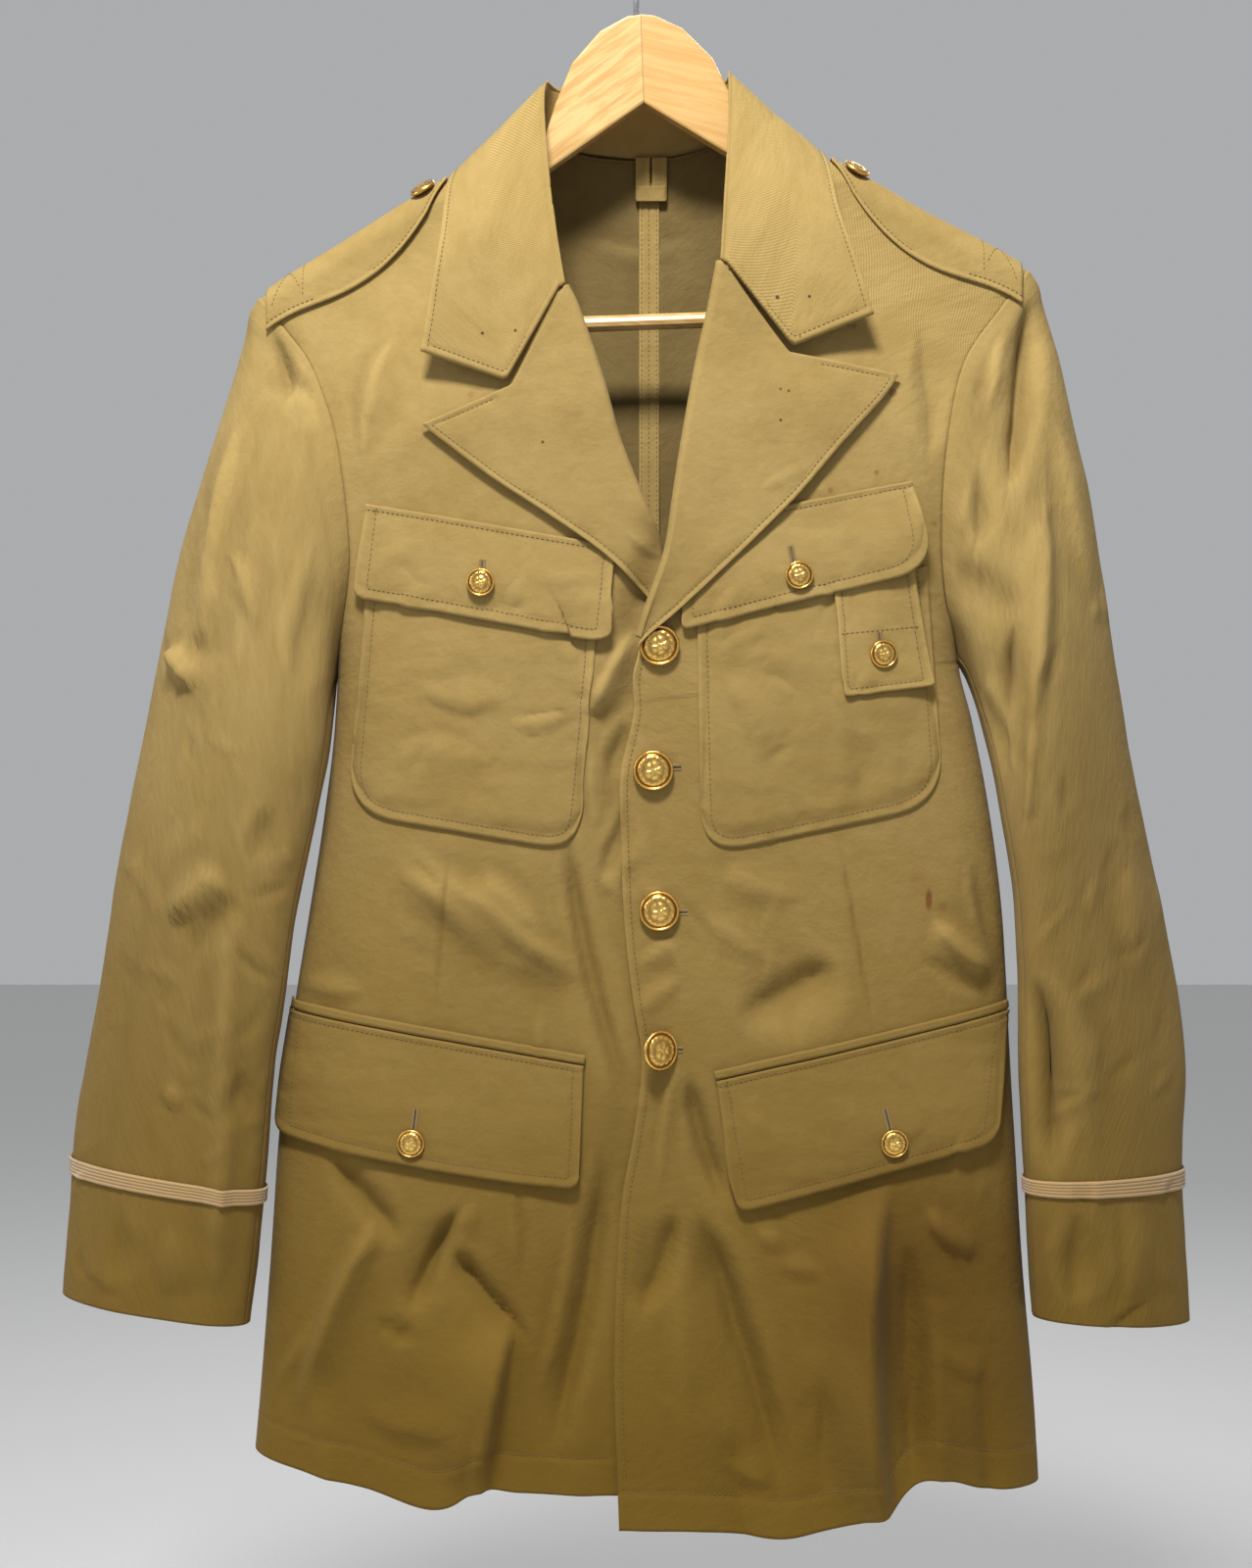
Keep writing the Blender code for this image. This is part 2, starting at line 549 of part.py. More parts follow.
def cloth_piece(name, points, wall=WALL, colour=CLOTH, closed=False):
    """A piece of cloth: an open surface with its wall laid half on each side."""
    made = add_object(name, cloth_mesh(name, points, closed), colour)
    wall_modifier = made.modifiers.new("Wall", "SOLIDIFY")
    wall_modifier.thickness = wall * MM
    wall_modifier.offset = 0.0
    return made


def add_panels():
    """Two fronts and two backs."""
    for face, edges in (("front_right", FRONT_RIGHT), ("front_left", FRONT_LEFT)):
        base = panel_grid(edges, FRONT_ROWS, FRONT_SHARES, face)
        folds = fold_height(base[..., 0], base[..., 2], FRONT_FOLDS)
        base = lift(base, folds * edge_fade(base), (0, -1, 0))
        PANELS[face] = panel_tree(base)
        cloth_piece(face, base)
    for face, edges in (("back_right", BACK_RIGHT), ("back_left", BACK_LEFT)):
        base = panel_grid(edges, BACK_ROWS, BACK_SHARES, face)
        inner = SEAM_GAP if face == "back_left" else -SEAM_GAP
        base[:, -1, 0] = CENTRE_BACK + inner
        folds = fold_height(base[..., 0], base[..., 2], BACK_FOLDS)
        cloth_piece(face, lift(base, folds * edge_fade(base), (0, 1, 0)))


def panel_tree(points):
    """A search tree over a panel's own faces."""
    rows, columns = points.shape[:2]
    corners = [tuple(p) for p in points.reshape(-1, 3)]
    faces = []
    for i in range(rows - 1):
        for j in range(columns - 1):
            a = i * columns + j
            faces.append((a, a + 1, a + columns + 1))
            faces.append((a, a + columns + 1, a + columns))
    return BVHTree.FromPolygons(corners, faces)


def edge_fade(points):
    """Folds die away towards the side seams and the shoulder ridge."""
    return smoothstep(np.abs(points[..., 1]) / 12.0)


def front_point(x, z, layer, right_front):
    """A point over the fronts' surface with its folds, and the outward normal there."""
    step = NORMAL_STEP

    def surface(at_x, at_z):
        at_x = np.asarray(at_x, dtype=float)
        at_z = np.asarray(at_z, dtype=float)
        base = front_base(at_x, at_z, right_front)
        base[..., 1] -= fold_height(at_x, at_z, FRONT_FOLDS) * edge_fade(base)
        return base

    point = surface(x, z)
    across = surface(np.asarray(x) + step, z) - surface(np.asarray(x) - step, z)
    up = surface(x, np.asarray(z) + step) - surface(x, np.asarray(z) - step)
    normal = np.cross(across, up)
    normal = normal / np.linalg.norm(normal, axis=-1, keepdims=True)
    tree = PANELS["front_right" if right_front else "front_left"]
    flat = point.reshape(-1, 3)
    for i in range(len(flat)):
        hit = tree.ray_cast((flat[i, 0], -200.0, flat[i, 2]), (0.0, 1.0, 0.0))[0]
        if hit is None or abs(hit[1] - flat[i, 1]) > HIT_REACH:
            hit = tree.find_nearest(tuple(flat[i]))[0]
            hit = flat[i] if (hit - Vector(flat[i])).length > HIT_REACH else hit
        flat[i] = hit
    return point + normal * np.asarray(layer)[..., None] * PLY, normal


def rounded_edge(start, end, rise_start, rise_end, radii, sag, shares):
    """A lower edge between two corners, with the corners rounded off."""
    start = np.array(start, dtype=float)
    end = np.array(end, dtype=float)
    points = []
    steps = np.linspace(0, 1, CORNER_STEPS + 1)
    for corner, toward, rise, radius, reverse in (
            (start, end, rise_start, radii[0], False), (end, start, rise_end, radii[1], True)):
        along = (toward - corner) / np.linalg.norm(toward - corner)
        up = (np.array(rise) - corner) / np.linalg.norm(np.array(rise) - corner)
        arc = [(1 - t) ** 2 * (corner + up * radius) + 2 * t * (1 - t) * corner
               + t * t * (corner + along * radius) for t in steps]
        points.append(arc[::-1] if reverse else arc)
    middle = [start + (end - start) * t - np.array([0, sag * 4 * t * (1 - t)])
              for t in np.linspace(0.2, 0.8, 7)]
    return resample(np.array(points[0] + middle + points[1]), shares)


def add_flat_pieces():
    """Pockets, flaps, welts and the tab, each ruled between its top and lower edge."""
    for name, size in FLAT_PIECES.items():
        rows = 2 if "welt" in name else POCKET_ROWS if "pocket" in name else FLAP_ROWS
        shares = np.array(FLAP_SHARES)
        if name.startswith("hip"):
            shares = np.array(HIP_SHARES)
            shares = shares if name.endswith("right") else 1 - shares[::-1]
        top = resample(np.array(size["top"]), shares)
        low = rounded_edge(size["bottom"][0], size["bottom"][1], size["top"][0],
                           size["top"][1], size["radii"], size["sag"], shares)
        share = np.linspace(0, 1, rows)[:, None, None]
        plan = top[None] * (1 - share) + low[None] * share
        upper, lower_start, lower_end = size["layers"]
        lower = (lower_start + (lower_end - lower_start) * shares)[None]
        layer = upper + (lower - upper) * smoothstep(share[..., 0] * 1.4)
        right_front = plan[0, 0, 0] < 0
        points, _ = front_point(plan[..., 0], plan[..., 1], layer, right_front)
        cloth_piece(name, points, TRIM_WALL)


def sleeve_point(table, row, turn, armhole):
    """Point of a sleeve's middle surface; turn runs from the outer edge over the front."""
    share = (1 - np.cos(turn)) / 2
    x = table.at("outer_x", row) * (1 - share) + table.at("inner_x", row) * share
    z = table.at("outer_z", row) * (1 - share) + table.at("inner_z", row) * share
    inward = -np.sign(x)
    x = x + inward * table.at("bow", row) * np.sin(turn) ** 2
    round_depth = np.sign(np.sin(turn)) * np.abs(np.sin(turn)) ** (2 / SLEEVE_POWER)
    y = (table.at("middle", row) + table.at("skew", row) * np.cos(turn)
         - table.at("depth", row) * round_depth)
    point = np.stack([x, y, z], axis=-1)
    fade = 1 - smoothstep(np.asarray(row) / 2.0)
    hole = armhole(turn)
    start = sleeve_start(table, turn)
    return point + fade[..., None] * (hole - start)


def sleeve_start(table, turn):
    """The sleeve table's own first row, which the armhole's true loop replaces."""
    share = (1 - np.cos(turn)) / 2
    x = table.at("outer_x", 0) * (1 - share) + table.at("inner_x", 0) * share
    z = table.at("outer_z", 0) * (1 - share) + table.at("inner_z", 0) * share
    x = x - np.sign(x) * table.at("bow", 0) * np.sin(turn) ** 2
    round_depth = np.sign(np.sin(turn)) * np.abs(np.sin(turn)) ** (2 / SLEEVE_POWER)
    y = table.at("middle", 0) - table.at("depth", 0) * round_depth
    return np.stack([x, y, z], axis=-1)


def armhole_loop(front, back):
    """A function from the turn round the sleeve to the armhole's edge, moved out a little."""
    rows = np.linspace(4, 10, 121)

    def edge(table, side):
        x = table.at("outer_x", rows)
        z = table.at("outer_z", rows)
        depth = np.maximum(body_depth(x, z, side), ROUND_SEAM_GAP / 2)
        return x, z, depth

    front_x, front_z, front_y = edge(front, "front")
    back_x, back_z, back_y = edge(back, "back")
    outward = np.sign(front_x[0])

    def loop(turn):
        share = (1 - np.cos(turn)) / 2
        on_front = np.sin(turn) >= 0
        z = np.where(on_front, front_z[-1] * (1 - share) + front_z[0] * share,
                     back_z[-1] * (1 - share) + back_z[0] * share)
        x = np.where(on_front, np.interp(z, front_z, front_x), np.interp(z, back_z, back_x))
        y = np.where(on_front, -np.interp(z, front_z, front_y), np.interp(z, back_z, back_y))
        return np.stack([x + outward * SLEEVE_START, y, z], axis=-1)

    return loop


def sleeve_fade(row):
    """Folds start a little below the armhole."""
    return smoothstep(np.asarray(row) / 1.0)


def sleeve_grid(table, armhole, rows, turns, layer=0.0):
    """A grid of a sleeve between two turns, with its folds."""
    turn_grid, row_grid = np.meshgrid(turns, rows)
    base = sleeve_point(table, row_grid, turn_grid, armhole)
    front = np.clip((np.sin(turn_grid) - 0.25) * 2.5, 0, 1) * sleeve_fade(row_grid)
    folds = fold_height(base[..., 0], base[..., 2], FRONT_FOLDS) * front
    centre = np.stack([(table.at("outer_x", row_grid) + table.at("inner_x", row_grid)) / 2,
                       table.at("middle", row_grid),
                       (table.at("outer_z", row_grid) + table.at("inner_z", row_grid)) / 2], -1)
    normal = grid_normals(base)
    facing = np.sum(normal * (base - centre), axis=2)
    normal = normal * (1 if np.mean(facing) > 0 else -1)
    return base + normal * (folds + layer)[..., None]


def add_sleeves():
    """Top and under sleeve and the cuff braid on each arm."""
    for side, table, front, back in (("right", SLEEVE_RIGHT, FRONT_RIGHT, BACK_RIGHT),
                                     ("left", SLEEVE_LEFT, FRONT_LEFT, BACK_LEFT)):
        armhole = armhole_loop(front, back)
        trim = 0.6
        for part, (start, end), columns in (("top", TOP_SLEEVE, 17), ("under", UNDER_SLEEVE, 10)):
            turns = np.radians(np.linspace(start + trim, end - trim, columns))
            cloth_piece(f"sleeve_{side}_{part}", sleeve_grid(table, armhole, SLEEVE_ROWS, turns))
        turns = np.linspace(0, 2 * pi, 33)[:-1]
        braid = braid_grid(table, armhole, turns)
        cloth_piece(f"cuff_braid_{side}", braid, TRIM_WALL, TRIM, closed=True)


def braid_grid(table, armhole, turns):
    """The flat braid round the cuff, on the sleeve's own surface."""
    wrapped = np.concatenate([[turns[-1] - 2 * pi], turns, [turns[0] + 2 * pi]])
    rows = np.linspace(*BRAID_ROWS, 3)
    return sleeve_grid(table, armhole, rows, wrapped, BRAID_LIFT)[:, 1:-1]


def add_collar():
    """The turned-down collar, one piece round the neck."""
    places = np.linspace(0, 10, COLLAR_COLUMNS)
    cloth_piece("collar", collar_grid(places, np.array(COLLAR_ROWS)), TRIM_WALL)


def collar_grid(places, rows):
    """Rows 0 to 1 are the stand, 1 to 2 the soft fold, 2 to 3 the fall."""
    def along(name):
        return np.stack([COLLAR.at(f"{name}_{axis}", places) for axis in "xyz"], axis=-1)

    seam = along("seam")
    fold = along("fold")
    edge = along("edge")
    out = edge - fold
    out = out / np.linalg.norm(out, axis=1, keepdims=True)
    turned = fold + out * COLLAR_ROUND
    grid = []
    for row in rows:
        if row <= 1:
            points = seam + (fold - seam) * row
        elif row <= 2:
            t = row - 1
            crown = fold + out * COLLAR_ROUND / 2 + np.cross(out, tangent(fold)) * 1.6
            points = (1 - t) ** 2 * fold + 2 * t * (1 - t) * crown + t * t * turned
        else:
            t = row - 2
            points = turned + (edge - turned) * t
            points = points + end_bend(places, t, fold, edge)
            points[:, 1] += collar_belly(places, t)
        grid.append(points)
    return np.array(grid)


def tangent(points):
    """Unit direction along a curve of points."""
    run = np.gradient(points, axis=0)
    return run / np.linalg.norm(run, axis=1, keepdims=True)


def collar_belly(places, t):
    """The fall rounds forward over the chest and backward over the back."""
    front = smoothstep((3 - np.minimum(places, 10 - places)) / 2)
    back = 1 - smoothstep(np.abs(places - 5) / 2)
    return 4 * t * (1 - t) * (3.0 * back - 1.5 * front)


def end_bend(places, t, fold, edge):
    """The ends of the collar run along the gorge to the notch, then to the point."""
    shift = np.zeros((len(places), 3))
    for notch, index, near in ((COLLAR_NOTCHES[0], 0, places), (COLLAR_NOTCHES[1], -1, 10 - places)):
        gorge = fold[index, [0, 2]]
        point = edge[index, [0, 2]]
        shift_xz = corner_path(gorge, np.array(notch), point, t) - (gorge + (point - gorge) * t)
        fade = (1 - smoothstep(near / 1.6))[:, None]
        shift[:, [0, 2]] += fade * shift_xz
    return shift


def corner_path(start, corner, end, t):
    """Point at a share t of the way from start over a corner to end."""
    first = np.linalg.norm(corner - start)
    second = np.linalg.norm(end - corner)
    run = t * (first + second)
    if run <= first:
        return start + (corner - start) * run / first
    return corner + (end - corner) * (run - first) / second


def add_lapels():
    """The facings, turned over the roll lines on to the chest."""
    for side, table, notch in (("right", LAPEL_RIGHT, LAPEL_NOTCHES[0]),
                               ("left", LAPEL_LEFT, LAPEL_NOTCHES[1])):
        places = np.linspace(0, 7, LAPEL_COLUMNS)
        grid = lapel_grid(table, notch, places, np.array(LAPEL_ROWS), side == "right")
        cloth_piece(f"facing_{side}", grid, TRIM_WALL)


def lapel_grid(table, notch, places, rows, right_front):
    """Rows 0 to 1 lie behind the front, 1 to 2 go round the roll, 2 to 5 lie on the chest."""
    roll = np.stack([table.at("roll_x", places), table.at("roll_z", places)], axis=-1)
    edge = np.stack([table.at("edge_x", places), table.at("edge_z", places)], axis=-1)
    high = table.at("lift", places)
    run = tangent(roll)
    inward = np.stack([run[:, 1], -run[:, 0]], axis=-1)
    inward = inward * np.sign(np.mean(inward[:, 0]) * (1 if right_front else -1))
    grid = []
    for row in rows:
        if row <= 1:
            plan = roll - inward * LAPEL_ROOT * (1 - row)
            back = np.full(len(places), LAPEL_ROOT_LAYER)
        elif row <= 2:
            angle = (row - 1) * pi
            plan = roll + inward * LAPEL_NOSE * sin(angle)
            back = (LAPEL_ROOT_LAYER * cos(angle)
                    - (high * (1 + LAPEL_ROLL_LIFT) - LAPEL_ROOT_LAYER) * (row - 1))
        else:
            t = (row - 2) / 3
            plan = roll + (edge - roll) * t
            bend = corner_path(roll[0], np.array(notch), edge[0], t)
            shift = bend - (roll[0] + (edge[0] - roll[0]) * t)
            plan = plan + (1 - smoothstep(places / 2.2))[:, None] * shift
            back = -high * (1 + LAPEL_ROLL_LIFT * (1 - t) ** 2)
        surface, _ = front_point(plan[:, 0], plan[:, 1], np.zeros(len(places)), right_front)
        surface[:, 1] += back
        grid.append(surface)
    return np.array(grid)


def ridge_point(x, across):
    """A point on the shoulder: across runs over the ridge, negative to the front."""
    radius = RIDGE_RADIUS
    quarter = radius * pi / 2
    arc = np.minimum(np.abs(across), quarter) / radius
    drop = radius * (1 - np.cos(arc)) + np.maximum(np.abs(across) - quarter, 0)
    z = SHOULDERS.at("z", x) - drop
    depth = np.where(np.abs(across) < 0.01, 0.0,
                     np.where(across < 0, -body_depth(x, z, "front"), body_depth(x, z, "back")))
    return np.stack([x, depth, z], axis=-1)


def add_epaulettes():
    """The shoulder loops, bent over the shoulder ridge."""
    for side, (start, end) in EPAULETTE_ENDS.items():
        places = np.linspace(0, 1, EPAULETTE_COLUMNS)
        share = np.linspace(-1, 1, EPAULETTE_ROWS)
        place_grid, share_grid = np.meshgrid(places, share)
        across = np.where(share_grid < 0, share_grid * EPAULETTE.at("front", place_grid),
                          share_grid * EPAULETTE.at("back", place_grid))
        x = start + (end - start) * place_grid
        base = ridge_point(x, across)
        cloth_piece(f"epaulette_{side}", lift(base, EPAULETTE_LIFT, (0, 0, 1)), TRIM_WALL)


def button_mesh(name, diameter):
    """A domed button with a raised rim, turned on a vertical axis, its back at zero."""
    radius = diameter / 2
    profile = ((0.0, 0.40), (0.35, 0.385), (0.66, 0.33), (0.80, 0.26), (0.86, 0.30),
               (0.95, 0.27), (1.0, 0.17), (0.93, 0.06), (0.5, 0.0), (0.0, 0.0))
    mesh = bpy.data.meshes.new(name)
    vertices = [(x * radius * MM, 0.0, z * radius * MM) for x, z in profile]
    mesh.from_pydata(vertices, [(i, i + 1) for i in range(len(vertices) - 1)], [])
    return mesh


def add_button(name, point, normal, diameter, yaw=0.0):
    """A button whose back rests just over the cloth at a point."""
    made = add_object(name, button_mesh(name, diameter), GOLD, 0.3, 1.0)
    screw = made.modifiers.new("Turn", "SCREW")
    screw.steps = BUTTON_STEPS
    screw.render_steps = BUTTON_STEPS
    screw.use_merge_vertices = True
    screw.merge_threshold = 0.0001
    screw.use_smooth_shade = True
    axis = Vector(normal)
    turn = axis.to_track_quat("Z", "Y").to_matrix().to_4x4()
    lean = Matrix.Rotation(radians(yaw), 4, "Z")
    clear = 0.86 * diameter / 2 * sin(radians(abs(yaw)))
    place = Vector(point) + axis * clear
    made.matrix_world = Matrix.Translation(place * MM) @ lean @ turn


def add_buttons():
    """Front, pocket, tab and shoulder buttons."""
    above = (WALL + 0.9) / 2 / PLY
    for number, (x, z, layer, yaw) in enumerate(FRONT_BUTTONS, 1):
        point, normal = front_point(x, z, layer + above, False)
        add_button(f"front_button_{number}", point, normal, FRONT_BUTTON, yaw)
    for name, (x, z, layer) in POCKET_BUTTONS.items():
        point, normal = front_point(x, z, layer + above, x < 0)
        add_button(name, point, normal, SMALL_BUTTON)
    for name, x in EPAULETTE_BUTTONS.items():
        step = NORMAL_STEP
        at = -EPAULETTE_BUTTON_FORWARD
        point = ridge_point(np.array(x), np.array(at))
        across = ridge_point(np.array(x), np.array(at + step)) - point
        along = ridge_point(np.array(x + step), np.array(at)) - point
        normal = np.cross(along, across)
        normal = normal / np.linalg.norm(normal)
        normal = normal if normal[2] > 0 else -normal
        add_button(name, point + normal * (EPAULETTE_LIFT + TRIM_WALL / 2 + 0.4), normal, SMALL_BUTTON)


def strip_on_back(name, left, right, top, bottom, rows):
    """A tape sewn to the inside of the back."""
    share = np.linspace(0, 1, rows)
    columns = np.linspace(left, right, 4)
    x, z = np.meshgrid(columns, top + (bottom - top) * share)
    base = back_base(x, z)
    folds = fold_height(x, z, BACK_FOLDS) * edge_fade(base)
    cloth_piece(name, lift(base, folds - PLY, (0, 1, 0)), TRIM_WALL)


# The seam tape: its sides, its ends and its rows of points
TAPE_SIDES = (1.8, 13.8)
TAPE_ENDS = (-180.0, -905.0)
TAPE_ROWS = 22
# The locker loop's outline from the left top corner, round the gap between its two ends
LOOP_OUTLINE = ((-0.4, -150), (8.2, -150), (8.2, -162), (9.8, -162), (9.8, -150),
                (18.4, -150), (18.4, -170), (-0.4, -170))
LOOP_MIDDLE = (8.0, -160.0)
LOOP_LIFT = 1.9          # from the tape's middle surface to the loop's
LOOP_LEAN = atan2(3.2, 24)


def add_neck_inside():
    """The centre seam's tape and the locker loop under the collar stand."""
    strip_on_back("back_seam_tape", *TAPE_SIDES, *TAPE_ENDS, TAPE_ROWS)
    loop = flat_outline("neck_loop", LOOP_OUTLINE, TRIM_WALL, TRIM)
    x, z = LOOP_MIDDLE
    depth = body_depth(np.array(x), np.array(z), "back") - PLY - LOOP_LIFT
    pivot = Matrix.Translation(Vector((0, float(depth), z)) * MM)
    lean = Matrix.Rotation(LOOP_LEAN, 4, "X")
    loop.matrix_world = pivot @ lean @ Matrix.Translation((0, 0, -z * MM))


def flat_outline(name, points, thickness, colour, roughness=0.85, bevel=0.0):
    """A flat shape in the XZ plane as a filled and extruded curve."""
    curve = bpy.data.curves.new(name, "CURVE")
    curve.dimensions = "2D"
    curve.fill_mode = "BOTH"
    curve.extrude = thickness / 2 * MM - bevel * MM
    curve.bevel_depth = bevel * MM
    curve.bevel_resolution = 1
    curve.offset = -bevel * MM
    spline = curve.splines.new("POLY")
    spline.points.add(len(points) - 1)
    for slot, (x, z) in zip(spline.points, points):
        slot.co = (x * MM, z * MM, 0.0, 1.0)
    spline.use_cyclic_u = True
    made = add_object(name, curve, colour, roughness)
    return to_mesh(made, Matrix.Rotation(pi / 2, 4, "X"))


def to_mesh(curve_object, turn):
    """Replace a curve object by its mesh, with the caps welded on."""
    graph = bpy.context.evaluated_depsgraph_get()
    mesh = bpy.data.meshes.new_from_object(curve_object.evaluated_get(graph))
    shape = bmesh.new()
    shape.from_mesh(mesh)
    bmesh.ops.remove_doubles(shape, verts=shape.verts, dist=0.00001)
    shape.transform(turn)
    shape.to_mesh(mesh)
    shape.free()
    name = curve_object.name
    curve = curve_object.data
    bpy.data.objects.remove(curve_object, do_unlink=True)
    bpy.data.curves.remove(curve)
    made = bpy.data.objects.new(name, mesh)
    COAT.objects.link(made)
    return made


def arc_points(centre, radius, start, end, count):
    """Points on an arc, with the angles in degrees from +X."""
    turn = np.radians(np.linspace(start, end, count))
    return [(centre[0] + radius * cos(a), centre[1] + radius * sin(a)) for a in turn]


# Half of the hanger's front view before its tilt: under the arm, round its end, over the crown
HANGER_HALF = ((0, -123), (52, -157), (108, -193), (160, -222), (176, -233), (178.2, -243),
               (178.6, -254), (184, -260), (193, -259), (199.5, -248), (199, -231),
               (187, -213.2), (150, -190.2), (110, -169.2), (78, -155.6), (58.5, -140.5),
               (51.5, -121), (41, -98), (24, -80), (8, -72))


def hanger_outline():
    """The hanger's front view before its tilt: an arched crown and two sloping arms."""
    other = [(-x, z) for x, z in HANGER_HALF[:0:-1]]
    return [*HANGER_HALF, (0, WOOD_TOP), *other]


def wire(name, points, diameter, colour, roughness, metallic, resolution):
    """A round rod along a chain of points."""
    curve = bpy.data.curves.new(name, "CURVE")
    curve.dimensions = "3D"
    curve.bevel_depth = diameter / 2 * MM
    curve.bevel_resolution = resolution
    curve.use_fill_caps = True
    spline = curve.splines.new("POLY")
    spline.points.add(len(points) - 1)
    for slot, point in zip(spline.points, points):
        slot.co = (*(Vector(point) * MM), 1.0)
    return add_object(name, curve, colour, roughness, metallic)


# The bar's half length and its height, the hook's turn in degrees and its points, and the
# bends of the wire between the wood and the hook: x and rise over the wood
BAR_REACH = 177.8
BAR_HEIGHT = -250.0
HOOK_TURN = (-35, 200)
HOOK_POINTS = 17
HOOK_NECK = ((0, 0), (0, 10), (1.5, 17), (8, 26))


def add_hanger():
    """Arms, trouser bar and hook."""
    tilt = Matrix.Rotation(-radians(HANGER_TILT), 4, "Y")
    arms = flat_outline("hanger_arms", hanger_outline(), ARM_THICKNESS, WOOD, 0.5, 1.5)
    arms.matrix_world = tilt
    arms.data.materials.clear()
    arms.data.materials.append(material("hanger_arms_finish", WOOD, 0.45))
    ends = ((-BAR_REACH, 0, BAR_HEIGHT), (BAR_REACH, 0, BAR_HEIGHT))
    bar = wire("hanger_bar", ends, BAR_DIAMETER, WOOD, 0.45, 0.0, 4)
    bar.matrix_world = tilt
    bend = arc_points((0, -HOOK_RADIUS + WIRE_DIAMETER / 2), HOOK_RADIUS, *HOOK_TURN, HOOK_POINTS)
    foot = WOOD_TOP + 0.3
    neck = [(x, foot + rise) for x, rise in HOOK_NECK]
    hook = [(x, 0, z) for x, z in (*neck, *bend)]
    wire("hanger_hook", hook, WIRE_DIAMETER, STEEL, 0.3, 1.0, 2)


COAT = reset_scene()
add_panels()
add_sleeves()
add_collar()
add_lapels()
add_flat_pieces()
add_epaulettes()
add_neck_inside()
add_buttons()
add_hanger()
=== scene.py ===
"""Looks of the military service coat on its wooden hanger.

Sizes are in millimetres in the tables and are scaled to metres when a mesh is made.
X runs to the viewer's right, the front of the coat faces -Y, and Z is up. "right" and
"left" in names are the wearer's, so the right side of the coat has negative X.
"""

import bmesh
import bpy
import numpy as np
from math import cos, pi, radians, sin
from mathutils import Matrix, Vector
from mathutils.bvhtree import BVHTree


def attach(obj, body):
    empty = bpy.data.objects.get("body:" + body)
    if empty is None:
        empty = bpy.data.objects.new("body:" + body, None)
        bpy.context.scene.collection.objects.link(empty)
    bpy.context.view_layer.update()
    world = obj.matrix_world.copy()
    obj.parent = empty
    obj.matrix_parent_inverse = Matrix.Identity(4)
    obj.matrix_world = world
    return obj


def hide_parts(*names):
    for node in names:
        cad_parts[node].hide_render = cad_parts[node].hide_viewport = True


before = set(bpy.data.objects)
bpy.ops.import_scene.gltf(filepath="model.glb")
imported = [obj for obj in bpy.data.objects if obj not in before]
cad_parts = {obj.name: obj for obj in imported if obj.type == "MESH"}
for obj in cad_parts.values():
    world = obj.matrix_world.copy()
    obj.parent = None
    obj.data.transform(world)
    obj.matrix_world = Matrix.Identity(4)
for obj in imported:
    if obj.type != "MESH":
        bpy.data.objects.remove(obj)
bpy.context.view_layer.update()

MM = 0.001

# Cloth
WALL = 1.3               # thickness of the coat body and sleeves
TRIM_WALL = 1.3          # thickness of flaps, pockets, collar and lapels
THIN_WALL = 1.0          # thickness of the braid and the tape
ROUND_SEAM_GAP = 0.8     # between two pieces at a seam where the cloth turns
PLY = 1.85               # from one layer's middle to the next layer's middle
SIDE_POWER = 3.0         # how square the coat's cross-section is
RIDGE_RADIUS = 14.0      # bend of the cloth over the hanger arm
SHOULDER_FALL = 150.0    # drop over which the chest reaches its full depth
CENTRE_BACK = 8.0        # x of the centre back seam
NORMAL_STEP = 0.8        # step for the slope of a surface
EDGE_FADE = 12.0         # folds die away this close to the hanger's plane
PANEL_CURVE = 241        # points on which a panel's row is worked out
ARMHOLE_ROWS = np.linspace(4, 10, 121)


class Table:
    """Rows of sizes under named columns, read with a smooth curve along the first column."""

    def __init__(self, columns, *rows):
        values = np.array(sorted(rows), dtype=float)
        self.names = columns.split()
        self.place = values[:, 0]
        self.values = values[:, 1:]
        step = np.diff(self.place)[:, None]
        rise = np.diff(self.values, axis=0) / step
        slope = np.empty_like(self.values)
        slope[0] = rise[0]
        slope[-1] = rise[-1]
        slope[1:-1] = (step[1:] * rise[:-1] + step[:-1] * rise[1:]) / (step[1:] + step[:-1])
        self.slope = slope

    def at(self, column, place):
        """The column's value at one place or at an array of places."""
        index = self.names.index(column) - 1
        place = np.clip(place, self.place[0], self.place[-1])
        low = np.clip(np.searchsorted(self.place, place) - 1, 0, len(self.place) - 2)
        step = self.place[low + 1] - self.place[low]
        t = (place - self.place[low]) / step
        start = self.values[low, index]
        end = self.values[low + 1, index]
        leave = self.slope[low, index] * step
        arrive = self.slope[low + 1, index] * step
        return (start * (1 + 2 * t) * (1 - t) ** 2 + end * t * t * (3 - 2 * t)
                + leave * t * (1 - t) ** 2 - arrive * t * t * (1 - t))


# The coat's sides and its depth in front of and behind the hanger's plane, by height
SECTIONS = Table(
    "z right left front back",
    (-100, -250, 258, 46, 37),
    (-240, -232, 243, 46, 37),
    (-320, -204, 214, 47, 37),
    (-400, -184, 195, 48, 37),
    (-450, -174, 187, 48, 37),
    (-483, -175, 195, 47, 37),
    (-542, -182, 206, 46, 37),
    (-600, -191, 213, 45, 36),
    (-650, -199, 216, 45, 36),
    (-715, -207, 219.5, 46, 36),
    (-800, -213, 224.5, 47, 37),
    (-877, -219, 231, 48, 38),
    (-950, -226, 235, 49, 39),
)

# Height of the shoulder ridge, and of the open neck between the shoulders
SHOULDERS = Table(
    "x z",
    (-250, -262), (-219, -237), (-165, -203), (-108, -167), (-64, -139), (-50, -100),
    (-25, -55), (0, -42), (25, -50), (50, -94), (66, -131), (111, -156), (165, -187),
    (228, -221), (250, -236),
)

